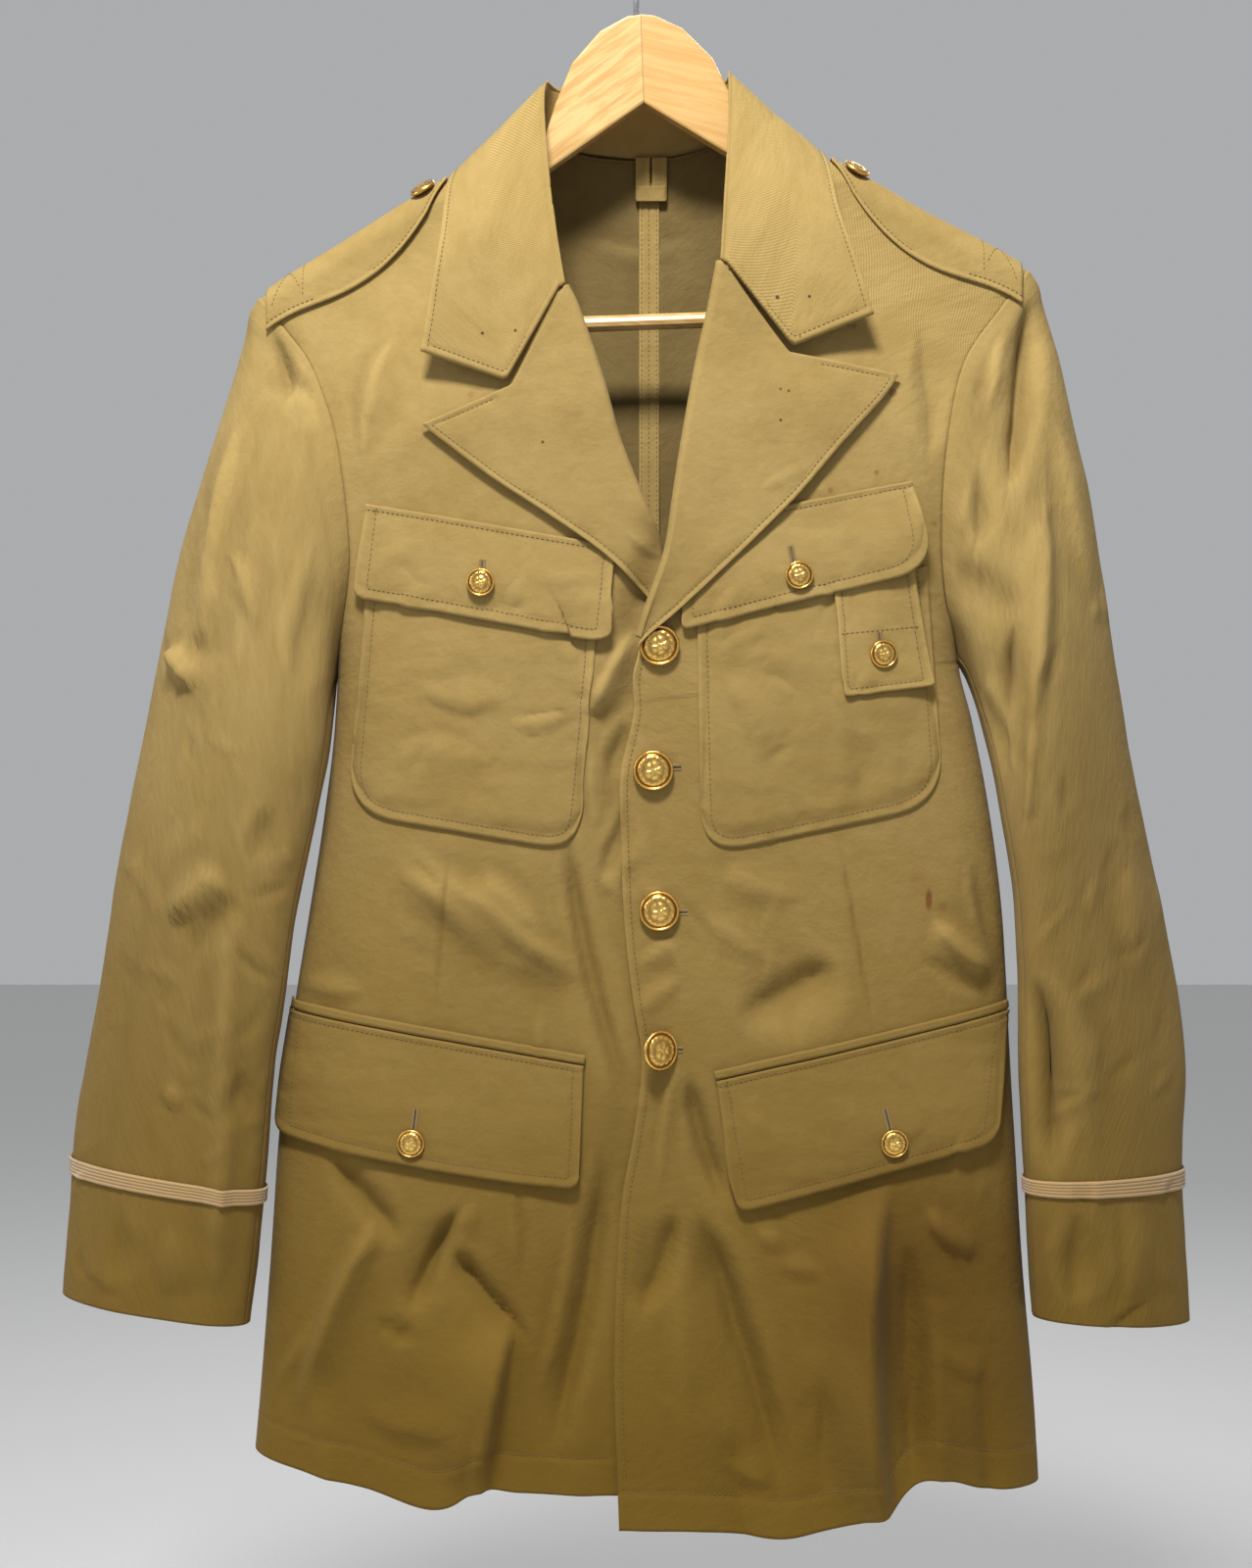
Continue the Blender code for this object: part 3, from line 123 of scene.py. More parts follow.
# Front edge of the left front, which laps over, and how far the right front lies behind it
FRONT_EDGE = Table(
    "z x under",
    (-385, 20, 8), (-415, 9.5, 8), (-438, 2.2, 8), (-448, 0.5, 8), (-459, -2.2, 7),
    (-478, -1.7, 5.5), (-517, -9.4, 4.5), (-550, -8.9, 4), (-604, -6.7, 4), (-643, -2.2, 4),
    (-675, 2.7, 4), (-715, -1.1, 4), (-755, -8.3, 4), (-794, -11.1, 4), (-847, -12.7, 4),
    (-942, -10, 4),
)
OVERLAP_START = 24.0     # the right front starts to dip this far outside the edge
OVERLAP_END = 4.0
OVERLAP_TOP = -360.0     # z above which the two fronts don't overlap

# Each panel's two long edges: outer is the side seam and armhole, inner the front edge,
# roll line and neck, or the centre back seam
FRONT_RIGHT = Table(
    "row outer_x outer_z inner_x inner_z",
    (0, -223.5, -906, 32, -924), (1, -212, -790, 32, -800), (2, -203, -680, 32, -690),
    (3, -186, -573, 32, -580), (4, -174, -460, 32, -487), (5, -165, -408, 23, -434),
    (6, -164, -379, 11, -385), (7, -171, -325, -20, -297), (8, -186, -282, -41, -241),
    (9, -203, -258, -56, -192), (10, -219, -237, -64, -139),
)
FRONT_LEFT = Table(
    "row outer_x outer_z inner_x inner_z",
    (0, 233.5, -924, -10, -942), (1, 225, -790, -11, -800), (2, 218, -680, 2, -690),
    (3, 210, -573, -8, -580), (4, 186, -449, -2, -474), (5, 176.5, -415, 2.2, -438),
    (6, 173.5, -379, 18, -390), (7, 176, -330, 30, -313), (8, 187, -280, 48, -228),
    (9, 209, -247, 60, -176), (10, 228, -221, 66, -131),
)
BACK_RIGHT = Table(
    "row outer_x outer_z inner_x inner_z",
    (0, -223.5, -906, 8, -914), (1, -212, -790, 8, -800), (2, -203, -680, 8, -690),
    (3, -186, -573, 8, -580), (4, -174, -460, 8, -480), (5, -171, -412, 8, -430),
    (6, -170, -375, 8, -380), (7, -175, -325, 8, -325), (8, -188, -283, 8, -270),
    (9, -205, -257, 8, -210), (10, -219, -237, 8, -148),
)
BACK_LEFT = Table(
    "row outer_x outer_z inner_x inner_z",
    (0, 233.5, -924, 8, -914), (1, 225, -790, 8, -800), (2, 218, -680, 8, -690),
    (3, 210, -573, 8, -580), (4, 186, -449, 8, -480), (5, 181, -408, 8, -430),
    (6, 179, -370, 8, -380), (7, 183, -318, 8, -325), (8, 195, -270, 8, -270),
    (9, 212, -242, 8, -210), (10, 228, -221, 8, -148),
)
ROLL_SETBACK = 1.7       # the front stops this far short of the roll line
NECK_SETBACK = 2.1       # and this far short of the collar's seam
SHOULDER_BEND_START = 7.0
BREAK_ROW = 5            # row of the fronts' tables where the lapel starts
GORGE_ROW = 8            # and where the collar starts

# Lower edge of the fronts by x
HEM_RIGHT = Table(
    "x z",
    (-224, -906), (-212, -909), (-191, -913), (-156, -920), (-104, -927.5), (-93, -921),
    (-66, -921), (-13, -923.5), (32, -924),
)
HEM_LEFT = Table(
    "x z",
    (-11, -942.5), (43, -943.5), (88, -947), (106, -943), (128, -937), (144, -932),
    (154, -921), (163, -916), (176, -916), (200, -923), (234, -924),
)
HEMS = {"front_right": HEM_RIGHT, "front_left": HEM_LEFT}

# Largest folds of the front and sleeves: three points of the crest, a width on each side
# of it, and a height, negative for a trough
FRONT_FOLDS = (
    # x0, z0, x1, z1, x2, z2, outer width, inner width, height
    (-140, -566, -83, -600, -29, -634, 10, 11, 4.5),
    (-92, -572, -74, -587, -50, -607, 7, 7, 2.5),
    (-40, -548, -34, -612, -1, -713, 7, 7, -3.5),
    (-143, -765, -172, -798, -196, -884, 5, 13, 5),
    (-101, -760, -118, -795, -131, -822, 9, 9, -4),
    (-104, -784, -90, -803, -59, -839, 8, 8, -4.5),
    (-18, -730, -27, -817, -50, -905, 9, 8, -5),
    (-70, -822, -82, -868, -93, -925, 26, 3.5, 4.5),
    (-176, -728, -152, -760, -132, -782, 7, 7, -3),
    (55, -653, 90, -637, 114, -621, 15, 15, -3.5),
    (168, -597, 182, -615, 208, -631, 8, 8, 3.5),
    (29, -683, 36, -723, 53, -762, 8, 8, -3.5),
    (22, -760, 13, -795, -1, -821, 9, 9, -3),
    (32, -763, 55, -821, 87, -935, 13, 13, -5.5),
    (138, -748, 118, -840, 142, -950, 24, 7, 9),
    (155, -775, 153, -848, 158, -930, 9, 11, -5),
    (163, -760, 177, -779, 199, -788, 9, 9, 2.4),
    (106, -852, 105, -885, 104, -928, 7, 7, -1.4),
    (-1, -432, -18, -464, -28, -482, 8, 8, 3),
    (-210, -251, -203, -284, -199, -302, 8, 8, -4),
    (-226, -304, -244, -391, -247, -449, 8, 8, 2.5),
    (-267, -441, -260, -455, -253, -466, 8, 8, 3),
    (-231, -572, -233, -754, -241, -817, 7, 7, 3),
    (-233, -567, -250, -583, -268, -599, 8, 8, 3),
    (227, -238, 227, -290, 209, -358, 8, 9, -6),
    (180, -392, 199, -412, 219, -424, 9, 7, -1.7),
    (215, -426, 207, -469, 205, -520, 9, 9, -2.8),
    (227, -356, 227, -420, 223, -488, 8, 8, 3),
    (225, -630, 230, -690, 236, -745, 9, 9, -5),
)
BACK_FOLDS = (
    (-150, -300, -120, -420, -95, -560, 20, 20, 4),
    (160, -300, 132, -430, 110, -570, 20, 20, 4),
    (-60, -620, -75, -760, -80, -910, 22, 22, -5),
    (75, -600, 88, -760, 96, -910, 24, 24, -5),
    (-150, -700, -158, -800, -165, -905, 18, 18, 4),
    (165, -690, 170, -800, 178, -915, 18, 18, 4),
)

# Sleeves: outer and inner edge in front view, half depth, middle plane, how far the
# inner edge stands forward, and the bow of the upper sections towards the chest
SLEEVE_RIGHT = Table(
    "row outer_x outer_z inner_x inner_z depth middle skew bow",
    (0, -219, -237, -176, -462, 30, 0, 0, 30), (1, -226, -254, -178, -468, 33, -2, 7, 23),
    (2, -239.5, -296, -178.5, -484, 36, -6, 13, 15), (3, -255.5, -347, -180, -512, 38, -9, 17, 9),
    (4, -268, -392, -185, -545, 38, -10, 18, 4), (5, -276.7, -432, -192, -578, 38, -10, 18, 1),
    (6, -284, -467, -197, -607, 37, -10, 18, 0), (7, -294, -520.6, -202, -642, 36, -10, 18, 0),
    (8, -308.8, -603.7, -208, -680, 35, -10, 17, 0), (9, -324.3, -685, -212, -716, 33, -10, 15, 0),
    (10, -331, -738, -215, -752, 32, -10, 15, 0), (11, -335.2, -818, -223, -830, 31, -10, 14, 0),
)
SLEEVE_LEFT = Table(
    "row outer_x outer_z inner_x inner_z depth middle skew bow",
    (0, 228, -221, 188, -451, 30, 0, 0, 30), (1, 235, -235, 192.5, -459, 33, -2, 7, 23),
    (2, 247.3, -269, 198, -478, 36, -6, 13, 15), (3, 258, -319, 206, -512, 38, -9, 17, 9),
    (4, 267, -366, 212, -548, 38, -10, 18, 4), (5, 276, -426.6, 217, -580, 38, -10, 18, 1),
    (6, 284, -473, 219.5, -607, 37, -10, 18, 0), (7, 292, -520.6, 221, -640, 36, -10, 18, 0),
    (8, 309.2, -600, 221, -680, 35, -10, 17, 0), (9, 320.5, -680, 222, -714, 33, -10, 17, 0),
    (10, 319.5, -745, 223, -746, 32, -10, 17, 0), (11, 323, -833.7, 227, -825, 31, -10, 15, 0),
)
SLEEVE_POWER = 2.3
SLEEVE_START = 1.5       # from the armhole's edge to the sleeve's first row
TOP_SLEEVE = (-62.0, 168.0)      # degrees round the sleeve: 0 outer edge, 90 front
UNDER_SLEEVE = (168.0, 298.0)
BRAID_ROWS = (10.0, 10.135)

# Flat pieces that lie on the fronts: upper and lower corners, radii of the lower corners, drop
# of the lower edge's middle, and the layer at the top and at the lower edge's two ends
FLAT_PIECES = {
    "breast_pocket_right": dict(
        top=((-153.5, -404), (-22, -431)), bottom=((-165, -537), (-33.5, -559)),
        radii=(29, 23), sag=0, layers=(1.3, 1.45, 1.3)),
    "breast_pocket_left": dict(
        top=((34, -424), (165, -396)), bottom=((37, -561), (175, -532)),
        radii=(26, 30), sag=0, layers=(1.2, 1.2, 1.2)),
    "breast_flap_right": dict(
        top=((-153.5, -361), (-12, -386.3)), bottom=((-160, -414), (-17.5, -441)),
        radii=(7, 8), sag=0, layers=(1, 2.6, 2.4)),
    "breast_flap_left": dict(
        top=((29, -374), (156, -348.5)), bottom=((25, -434), (166, -399)),
        radii=(5, 24), sag=0, layers=(1, 2.1, 3.8)),
    "hip_flap_right": dict(
        top=((-199, -651), (-30, -680)), bottom=((-206, -721), (-33, -750)),
        radii=(9, 9), sag=3, layers=(1.3, 2.1, 2.1)),
    "hip_flap_left": dict(
        top=((45, -688.5), (213, -651)), bottom=((57, -763), (203, -725)),
        radii=(8, 11), sag=0, layers=(1.3, 2.4, 2.4)),
    "hip_welt_right": dict(
        top=((-198.5, -644.8), (-29, -674)), bottom=((-199, -650.2), (-29.5, -679.2)),
        radii=(0.6, 0.6), sag=0, layers=(1.3, 1.3, 1.3)),
    "hip_welt_left": dict(
        top=((43.5, -682.8), (212.5, -645.2)), bottom=((44.5, -687.7), (213, -650.2)),
        radii=(0.6, 0.6), sag=0, layers=(1.3, 1.3, 1.3)),
    "pocket_tab": dict(
        top=((111.5, -407), (156, -398)), bottom=((116, -471.5), (167, -465)),
        radii=(2, 2), sag=0, layers=(2.15, 2.4, 2.4)),
}

# Collar: neck seam, fold and outer edge at eleven places round the neck, from the right
# front to the left front
COLLAR = Table(
    "place seam_x seam_y seam_z fold_x fold_y fold_z edge_x edge_y edge_z",
    (0, -41.5, -37, -241, -41, -47.5, -237, -121.8, -51, -275),
    (1, -53, -33, -205, -46.5, -40, -203, -118, -49, -252),
    (2, -59, -19, -166, -51.5, -25, -160, -112, -41, -212),
    (3, -62.5, 0, -136.5, -53.5, -3, -112, -106, -7, -164.5),
    (4, -46, 20.5, -142, -43, 24, -107, -80, 39, -172),
    (5, 8, 33.5, -145, 6, 32, -107, 7, 46, -176),
    (6, 57, 20.5, -137, 50, 24, -103, 92, 39, -162),
    (7, 65.5, 0, -128.5, 54, -3, -106, 108, -7, -153.5),
    (8, 62, -19, -156, 52.5, -25, -152, 116, -41, -197),
    (9, 58, -33, -192, 50, -40, -190, 127, -49, -232),
    (10, 48, -37, -228, 47.9, -47.5, -223.5, 133.5, -51, -254),
)
COLLAR_NOTCHES = ((-72.5, -290.5), (87, -271))
COLLAR_ROUND = 4.0       # width of the soft fold at the top of the stand

# Lapels: roll line and outer edge at eight places, from the gorge down to the break
LAPEL_RIGHT = Table(
    "place roll_x roll_z edge_x edge_z lift",
    (0, -41, -240, -121.5, -317, 4.4), (1, -34.5, -254, -109, -327, 4.4),
    (2, -21, -294, -82, -347.5, 4.4), (3, -12, -326, -50, -368.5, 4.2),
    (4, 0.5, -358, -18, -391, 4.6), (5, 11.5, -385, 4, -412.5, 3.1),
    (6, 13.5, -406, 11, -421, 1.9), (7, 22, -430, 20, -434, 1.9),
)
LAPEL_LEFT = Table(
    "place roll_x roll_z edge_x edge_z lift",
    (0, 47.7, -226, 149, -288, 4.4), (1, 42.5, -253, 138.5, -303, 4.4),
    (2, 36, -282, 117, -327, 4.8), (3, 28, -326, 90, -358.5, 5.6),
    (4, 23, -358, 58, -390.5, 6.2), (5, 18, -390, 26, -420.5, 6.6),
    (6, 7, -422, 5.5, -438, 6.7), (7, 2.2, -438, 0.8, -444, 4.9),
)
LAPEL_NOTCHES = ((-70.5, -295.5), (86, -276.5))
LAPEL_ROOT = 7.0         # the lapel is sewn this far inside the roll
LAPEL_ROOT_LAYER = 2.45  # from the front's middle surface back to the facing's
LAPEL_NOSE = 2.6         # the fold stands this far past the front's edge
LAPEL_ROLL_LIFT = 0.45   # the roll stands this much further out, as a share of the lift

# Shoulder loops: along the ridge from the sleeve to the tip, widths before and behind it
EPAULETTE = Table("place front back", (0, 33, 22), (0.86, 26, 17), (1, 9, 4))
EPAULETTE_ENDS = {"right": (-214, -109.5), "left": (223, 112.5)}

# Buttons: place in the front view, diameter, layers under it, turn to the side in degrees
FRONT_BUTTONS = (
    # x, z, layers, yaw
    (12.7, -442.3, 0, 0), (9.3, -512.9, 0, 0), (12.7, -592.3, 0, 0), (12.1, -670.6, 0, 35),
)
POCKET_BUTTONS = {
    "breast_button_right": (-87.6, -406.9, 2.5), "breast_button_left": (91.0, -403.0, 3.0),
    "hip_button_right": (-127.2, -723.9, 1.95), "hip_button_left": (145.0, -723.9, 2.2),
    "tab_button": (138.4, -447.0, 2.3),
}
EPAULETTE_BUTTONS = {"epaulette_button_right": -122.0, "epaulette_button_left": 126.0}

EPAULETTE_BUTTON_FORWARD = 8.0
EPAULETTE_LIFT = 2.6     # from the coat's middle surface to the loop's
BRAID_LIFT = 1.6         # from the sleeve's middle surface to the braid's
CORNER_STEPS = 10

# Finer creases of the front, in the same columns as the largest folds
FINE_FOLDS = (
    (-137, -548, -83, -600, -29, -632, 3, 4, 1.2), (-127, -565, -82, -610, -42, -631, 6, 5, -1.2),
    (-92, -564, -77, -586, -50, -607, 3, 3, 1), (-40, -548, -37, -617, -6, -698, 3, 3, -1.6),
    (-23, -569, -16, -578, -9, -590, 4, 4, 1), (-196, -634, -174, -641, -153, -640, 5, 5, 1),
    (-146, -773, -171, -784, -188, -872, 3, 4, 1.5),
    (-182, -827, -194, -840, -210, -872, 4, 4, 1.3),
    (-101, -760, -116, -781, -131, -822, 4, 4, -1.2),
    (-89, -756, -106, -772, -116, -811, 4, 4, 1.1),
    (-150, -825, -139, -834, -120, -838, 4, 4, -1.2),
    (-108, -776, -84, -800, -55, -837, 4, 4, 1.2),
    (-68, -749, -65, -772, -66, -806, 3, 3, -1), (-37, -770, -38, -806, -58, -875, 5, 5, 1.6),
    (-172, -738, -152, -766, -137, -775, 5, 5, -1.2), (-161, -875, -124, -894, -100, -881, 8, 8, 1),
    (-1, -625, 14, -612, 24, -610, 4, 4, 1.3), (3, -579, 8, -587, 22, -583, 4, 4, 0.9),
    (0, -651, 6, -639, 28, -631, 5, 5, 0.9), (55, -653, 96, -637, 114, -621, 9, 9, -1.2),
    (168, -598, 182, -622, 208, -631, 3, 4, 1.3), (161, -618, 178, -632, 202, -642, 4, 4, -0.9),
    (194, -565, 198, -594, 205, -618, 5, 5, -1.2), (22, -676, 14, -712, 11, -755, 2.5, 2.5, 1.1),
    (29, -683, 31, -727, 53, -763, 4, 4, -1.1), (22, -760, 16, -800, -1, -821, 4, 4, -1.1),
    (32, -763, 52, -801, 83, -919, 5, 5, -1.4), (42, -763, 64, -802, 95, -917, 5, 5, 1),
    (68, -774, 76, -779, 85, -784, 4, 4, 1.1), (78, -791, 94, -798, 106, -797, 4, 4, 1.1),
    (142, -753, 120, -815, 138, -897, 4, 4, 1.5), (163, -760, 175, -785, 195, -786, 4, 4, 1.3),
    (163, -830, 162, -856, 158, -883, 4, 4, -1), (106, -862, 105, -880, 104, -901, 4, 4, -1),
    (48, -904, 65, -914, 78, -919, 6, 6, 1), (-141, -265, -152, -288, -156, -336, 6, 6, 1.8),
    (161, -260, 169, -299, 165, -338, 8, 8, -1.5), (-74, -487, -51, -488, -36, -480, 3, 3, 1),
    (-122, -465, -103, -480, -72, -472, 6, 6, 0.8), (-138, -510, -122, -499, -83, -508, 8, 8, 0.8),
    (47, -460, 70, -476, 69, -515, 7, 7, 0.9), (116, -487, 135, -518, 122, -537, 7, 7, -0.9),
    (-1, -431, -22, -472, -28, -482, 4, 5, 1.8), (-6, -485, -13, -499, -16, -521, 5, 5, -1.6),
    (-28, -498, -22, -519, -25, -548, 4, 4, 1), (-50, -410, -36, -432, -33, -454, 6, 6, -1),
    (-6, -532, -14, -554, -22, -576, 5, 5, -1.3), (50, -565, 57, -584, 100, -584, 8, 8, 0.9),
    (39, -593, 45, -612, 83, -618, 6, 6, 0.8), (172, -836, 182, -859, 205, -858, 6, 6, 1),
    (22, -797, 31, -836, 28, -875, 9, 9, 1),
)
SLEEVE_CREASES = (
    (-210, -251, -202, -292, -199, -301, 4, 4, -1.6),
    (-198, -285, -191, -292, -184, -296, 7, 7, -2.2),
    (-195, -271, -189, -280, -187, -288, 4, 4, 1.2),
    (-226, -304, -245, -378, -248, -449, 2.5, 2.5, 1),
    (-231, -388, -223, -398, -219, -432, 4, 4, 1), (-267, -441, -260, -454, -253, -466, 5, 5, 1.6),
    (-246, -432, -256, -448, -265, -465, 4, 4, -1),
    (-231, -572, -228, -680, -241, -817, 2.5, 2.5, 1),
    (-233, -567, -249, -583, -269, -599, 4, 4, 1.4),
    (-224, -579, -242, -595, -257, -623, 5, 5, -1.1),
    (-267, -690, -264, -698, -260, -705, 4, 4, 1.2), (-221, -681, -226, -698, -235, -714, 6, 6, -1),
    (-204, -532, -212, -548, -221, -565, 6, 6, -1.2),
    (-183, -388, -188, -438, -194, -465, 7, 7, -1.2),
    (225, -236, 229, -290, 210, -352, 5, 4, -2.4), (202, -255, 198, -264, 194, -269, 3, 3, 1.2),
    (188, -286, 197, -292, 194, -305, 3, 3, -1.2), (209, -260, 208, -284, 202, -305, 4, 4, 1.3),
    (194, -342, 196, -366, 194, -391, 5, 5, -1.4), (178, -392, 199, -414, 222, -424, 8, 7, -0.6),
    (214, -400, 207, -470, 205, -548, 9, 8, -0.6), (215, -431, 208, -460, 206, -488, 5, 5, -1.2),
    (234, -322, 227, -430, 219, -556, 3, 3, 1.2), (199, -460, 204, -464, 213, -515, 5, 5, 1.2),
    (244, -310, 248, -366, 259, -421, 8, 8, 1), (225, -630, 230, -668, 238, -737, 7, 7, -1.8),
    (235, -631, 250, -681, 260, -731, 7, 7, 1.2), (249, -761, 248, -795, 246, -817, 8, 8, -1.5),
    (277, -759, 287, -794, 277, -820, 9, 9, 1.2), (277, -554, 283, -590, 285, -637, 9, 9, 1),
    (-299, -764, -294, -788, -298, -803, 7, 7, -1), (-266, -767, -262, -795, -269, -811, 9, 9, 1),
)
BACK_CREASES = (
    (-120, -330, -96, -420, -92, -520, 4, 5, 1.3), (-70, -250, -62, -330, -66, -400, 7, 7, 1.2),
    (120, -300, 108, -390, 96, -500, 5, 4, 1.3), (66, -240, 60, -320, 70, -390, 7, 7, 1.0),
    (-150, -520, -100, -560, -50, -575, 5, 4, 1.4), (-140, -560, -104, -590, -66, -598, 5, 5, -1.2),
    (165, -530, 110, -566, 62, -580, 5, 4, 1.4), (150, -585, 112, -600, 78, -612, 5, 5, -1.1),
    (-20, -500, -34, -560, -30, -640, 4, 4, -1.1), (30, -480, 42, -560, 36, -650, 4, 4, -1.1),
    (-110, -650, -124, -760, -120, -880, 4, 4, 1.4), (-46, -680, -52, -800, -44, -900, 5, 5, 1.3),
    (120, -640, 134, -760, 128, -885, 4, 4, 1.4), (52, -690, 56, -800, 64, -895, 5, 5, 1.2),
    (-190, -650, -184, -740, -190, -840, 5, 5, 1.1), (204, -640, 196, -740, 206, -850, 5, 5, 1.1),
    (-30, -190, 0, -206, 34, -192, 6, 6, 1.0), (-150, -300, -132, -318, -104, -322, 5, 5, 1.2),
    (150, -290, 134, -306, 108, -312, 5, 5, 1.2),
)

# Uneven lie of the cloth: size of its waves, their height and the number of their pattern
WAVES = ((95.0, 1.5, 11), (38.0, 0.55, 12), (15.0, 0.16, 13))

CREASE_GAIN = 2.5        # height of the sharp creases over the height in their tables
CREASE_POWER = 1.3       # how sharp a crease's crest is: 2 is a soft bell, 1 a sharp ridge
CREASE_HOLLOW = 0.3      # depth of the hollow beside a crease
CREASE_SIDES = (0.7, 1.45)   # width of a crease's steep and gentle side over its table's
CREASE_STEEP = 0.72      # most height of a crease, as a share of its width
SOFT_POWER = 1.6         # how sharp a main fold's crest is, on the same scale
SOFT_FADE = 0.3          # share of a main fold's length over which each end dies away
CREST_STEPS = 13         # points along a fold's crest
CREASE_WANDER = ((1.6, 26.0, 21), (0.6, 9.0, 22))    # sway of the creases: reach, size, pattern
# Folds that are deepest at the hem, in the same columns as the main ones
HEM_FOLDS = (
    (-68, -812, -88, -890, -104, -1050, 24, 3, 10), (-84, -850, -98, -920, -118, -1060, 7, 9, -4),
    (146, -738, 120, -830, 152, -1010, 20, 5, 9), (168, -800, 172, -900, 178, -1050, 9, 7, 4),
    (-186, -850, -176, -900, -168, -1010, 10, 8, 4), (52, -880, 60, -930, 70, -1010, 12, 9, -4),
    (196, -840, 200, -900, 206, -1000, 6, 8, -4),
)
DARTS = {
    "front_right": ((-106.5, -556, -111, -600, -116.5, -658, 1.3, 1.3, -0.55),),
    "front_left": ((113, -545, 126, -610, 133, -660, 1.3, 1.3, -0.55),),
}
DART_DEPTH = -0.55


def smoothstep(t):
    """0 below 0, 1 above 1 and a soft step between."""
    t = np.clip(t, 0.0, 1.0)
    return t * t * (3 - 2 * t)


def bell(away, reach):
    """1 at no distance, and 0 far beyond the reach."""
    return np.exp(-(away / reach) ** 2)


def curved(start, middle, end, t):
    """A point on the curve from start to end that leans towards the middle point."""
    return (1 - t) ** 2 * start + 2 * t * (1 - t) * middle + t * t * end


def unit(vectors):
    """The vectors at length 1."""
    vectors = np.asarray(vectors)
    return vectors / np.maximum(np.linalg.norm(vectors, axis=-1, keepdims=True), 1e-9)


def lengths(points):
    """Distance of each point of a path from its start."""
    steps = np.linalg.norm(np.diff(np.asarray(points, dtype=float), axis=0), axis=1)
    return np.concatenate([[0], np.cumsum(steps)])


def at_lengths(wanted, run, values):
    """A path's values at some distances from its start."""
    return np.stack([np.interp(wanted, run, column) for column in np.transpose(values)], axis=-1)


def squeezed(sine, power):
    """A sine whose curve is as square as the power says."""
    return np.sign(sine) * np.abs(sine) ** (2 / power)


def nearest_on_crest(x, z, crest_x, crest_z, hand):
    """For points near a crest: distance from it, side of it, and share of its length."""
    nearest = np.full(x.shape, np.inf)
    side = np.zeros(x.shape)
    along = np.zeros(x.shape)
    count = len(crest_x) - 1
    for i in range(count):
        run_x = crest_x[i + 1] - crest_x[i]
        run_z = crest_z[i + 1] - crest_z[i]
        length = max(run_x ** 2 + run_z ** 2, 1e-9)
        t = np.clip(((x - crest_x[i]) * run_x + (z - crest_z[i]) * run_z) / length, 0, 1)
        off_x = x - crest_x[i] - t * run_x
        off_z = z - crest_z[i] - t * run_z
        distance = np.hypot(off_x, off_z)
        closer = distance < nearest
        nearest = np.where(closer, distance, nearest)
        side = np.where(closer, (run_x * off_z - run_z * off_x) * hand, side)
        along = np.where(closer, (i + t) / count, along)
    return nearest, side, along


def fold_height(x, z, folds, crisp=False):
    """Sum of the folds at points of the front view or back view, soft or as sharp creases."""
    x = np.asarray(x, dtype=float)
    z = np.asarray(z, dtype=float)
    if crisp:
        sway = [sum(reach * wave(x, z, size, seed + more) for reach, size, seed in CREASE_WANDER)
                for more in (0, 2)]
        x, z = x + sway[0], z + sway[1]
    total = np.zeros(x.shape)
    steps = np.linspace(0, 1, CREST_STEPS)
    for x0, z0, x1, z1, x2, z2, outer, inner, height in folds:
        crest_x = curved(x0, x1, x2, steps)
        crest_z = curved(z0, z1, z2, steps)
        reach = 3 * max(outer, inner)
        close = ((x > crest_x.min() - reach) & (x < crest_x.max() + reach)
                 & (z > crest_z.min() - reach) & (z < crest_z.max() + reach))
        if not close.any():
            continue
        hand = 1 if z2 < z0 else -1
        nearest, side, along = nearest_on_crest(x[close], z[close], crest_x, crest_z, hand)
        width = np.where(side < 0, outer, inner)
        swell = np.sin(np.pi * along)
        if crisp:
            width = width * np.where(side < 0, *CREASE_SIDES)
            apart = nearest / (width * (0.3 + 0.75 * swell))
            hollow = CREASE_HOLLOW * np.exp(-(apart - 2.0) ** 2) * smoothstep(apart)
            steepest = CREASE_STEEP * min(outer, inner)
            rise = np.clip(height * CREASE_GAIN, -steepest, steepest)
            total[close] += rise * swell * (np.exp(-apart ** CREASE_POWER) - hollow)
        else:
            ends = smoothstep(along / SOFT_FADE) * smoothstep((1 - along) / SOFT_FADE)
            apart = nearest / (width * (0.45 + 0.6 * swell))
            total[close] += height * ends * np.exp(-apart ** SOFT_POWER)
    return total


LATTICE = 64             # cells of the waves' pattern before it repeats


def wave(x, z, size, seed):
    """Soft uneven waves of about one size, from -1 to 1."""
    lattice = np.random.default_rng(seed).uniform(-1, 1, (LATTICE, LATTICE))
    u = np.asarray(x, dtype=float) / size + LATTICE / 2
    v = np.asarray(z, dtype=float) / size + LATTICE
    i = np.floor(u).astype(int)
    j = np.floor(v).astype(int)
    s = smoothstep(u - i)
    t = smoothstep(v - j)
    corners = [lattice[(i + a) % LATTICE, (j + b) % LATTICE] for a in (0, 1) for b in (0, 1)]
    left = corners[0] * (1 - t) + corners[1] * t
    right = corners[2] * (1 - t) + corners[3] * t
    return left * (1 - s) + right * s


def uneven(x, z, seed=0):
    """The cloth's uneven lie between its creases."""
    return sum(height * wave(x, z, size, number + seed) for size, height, number in WAVES)


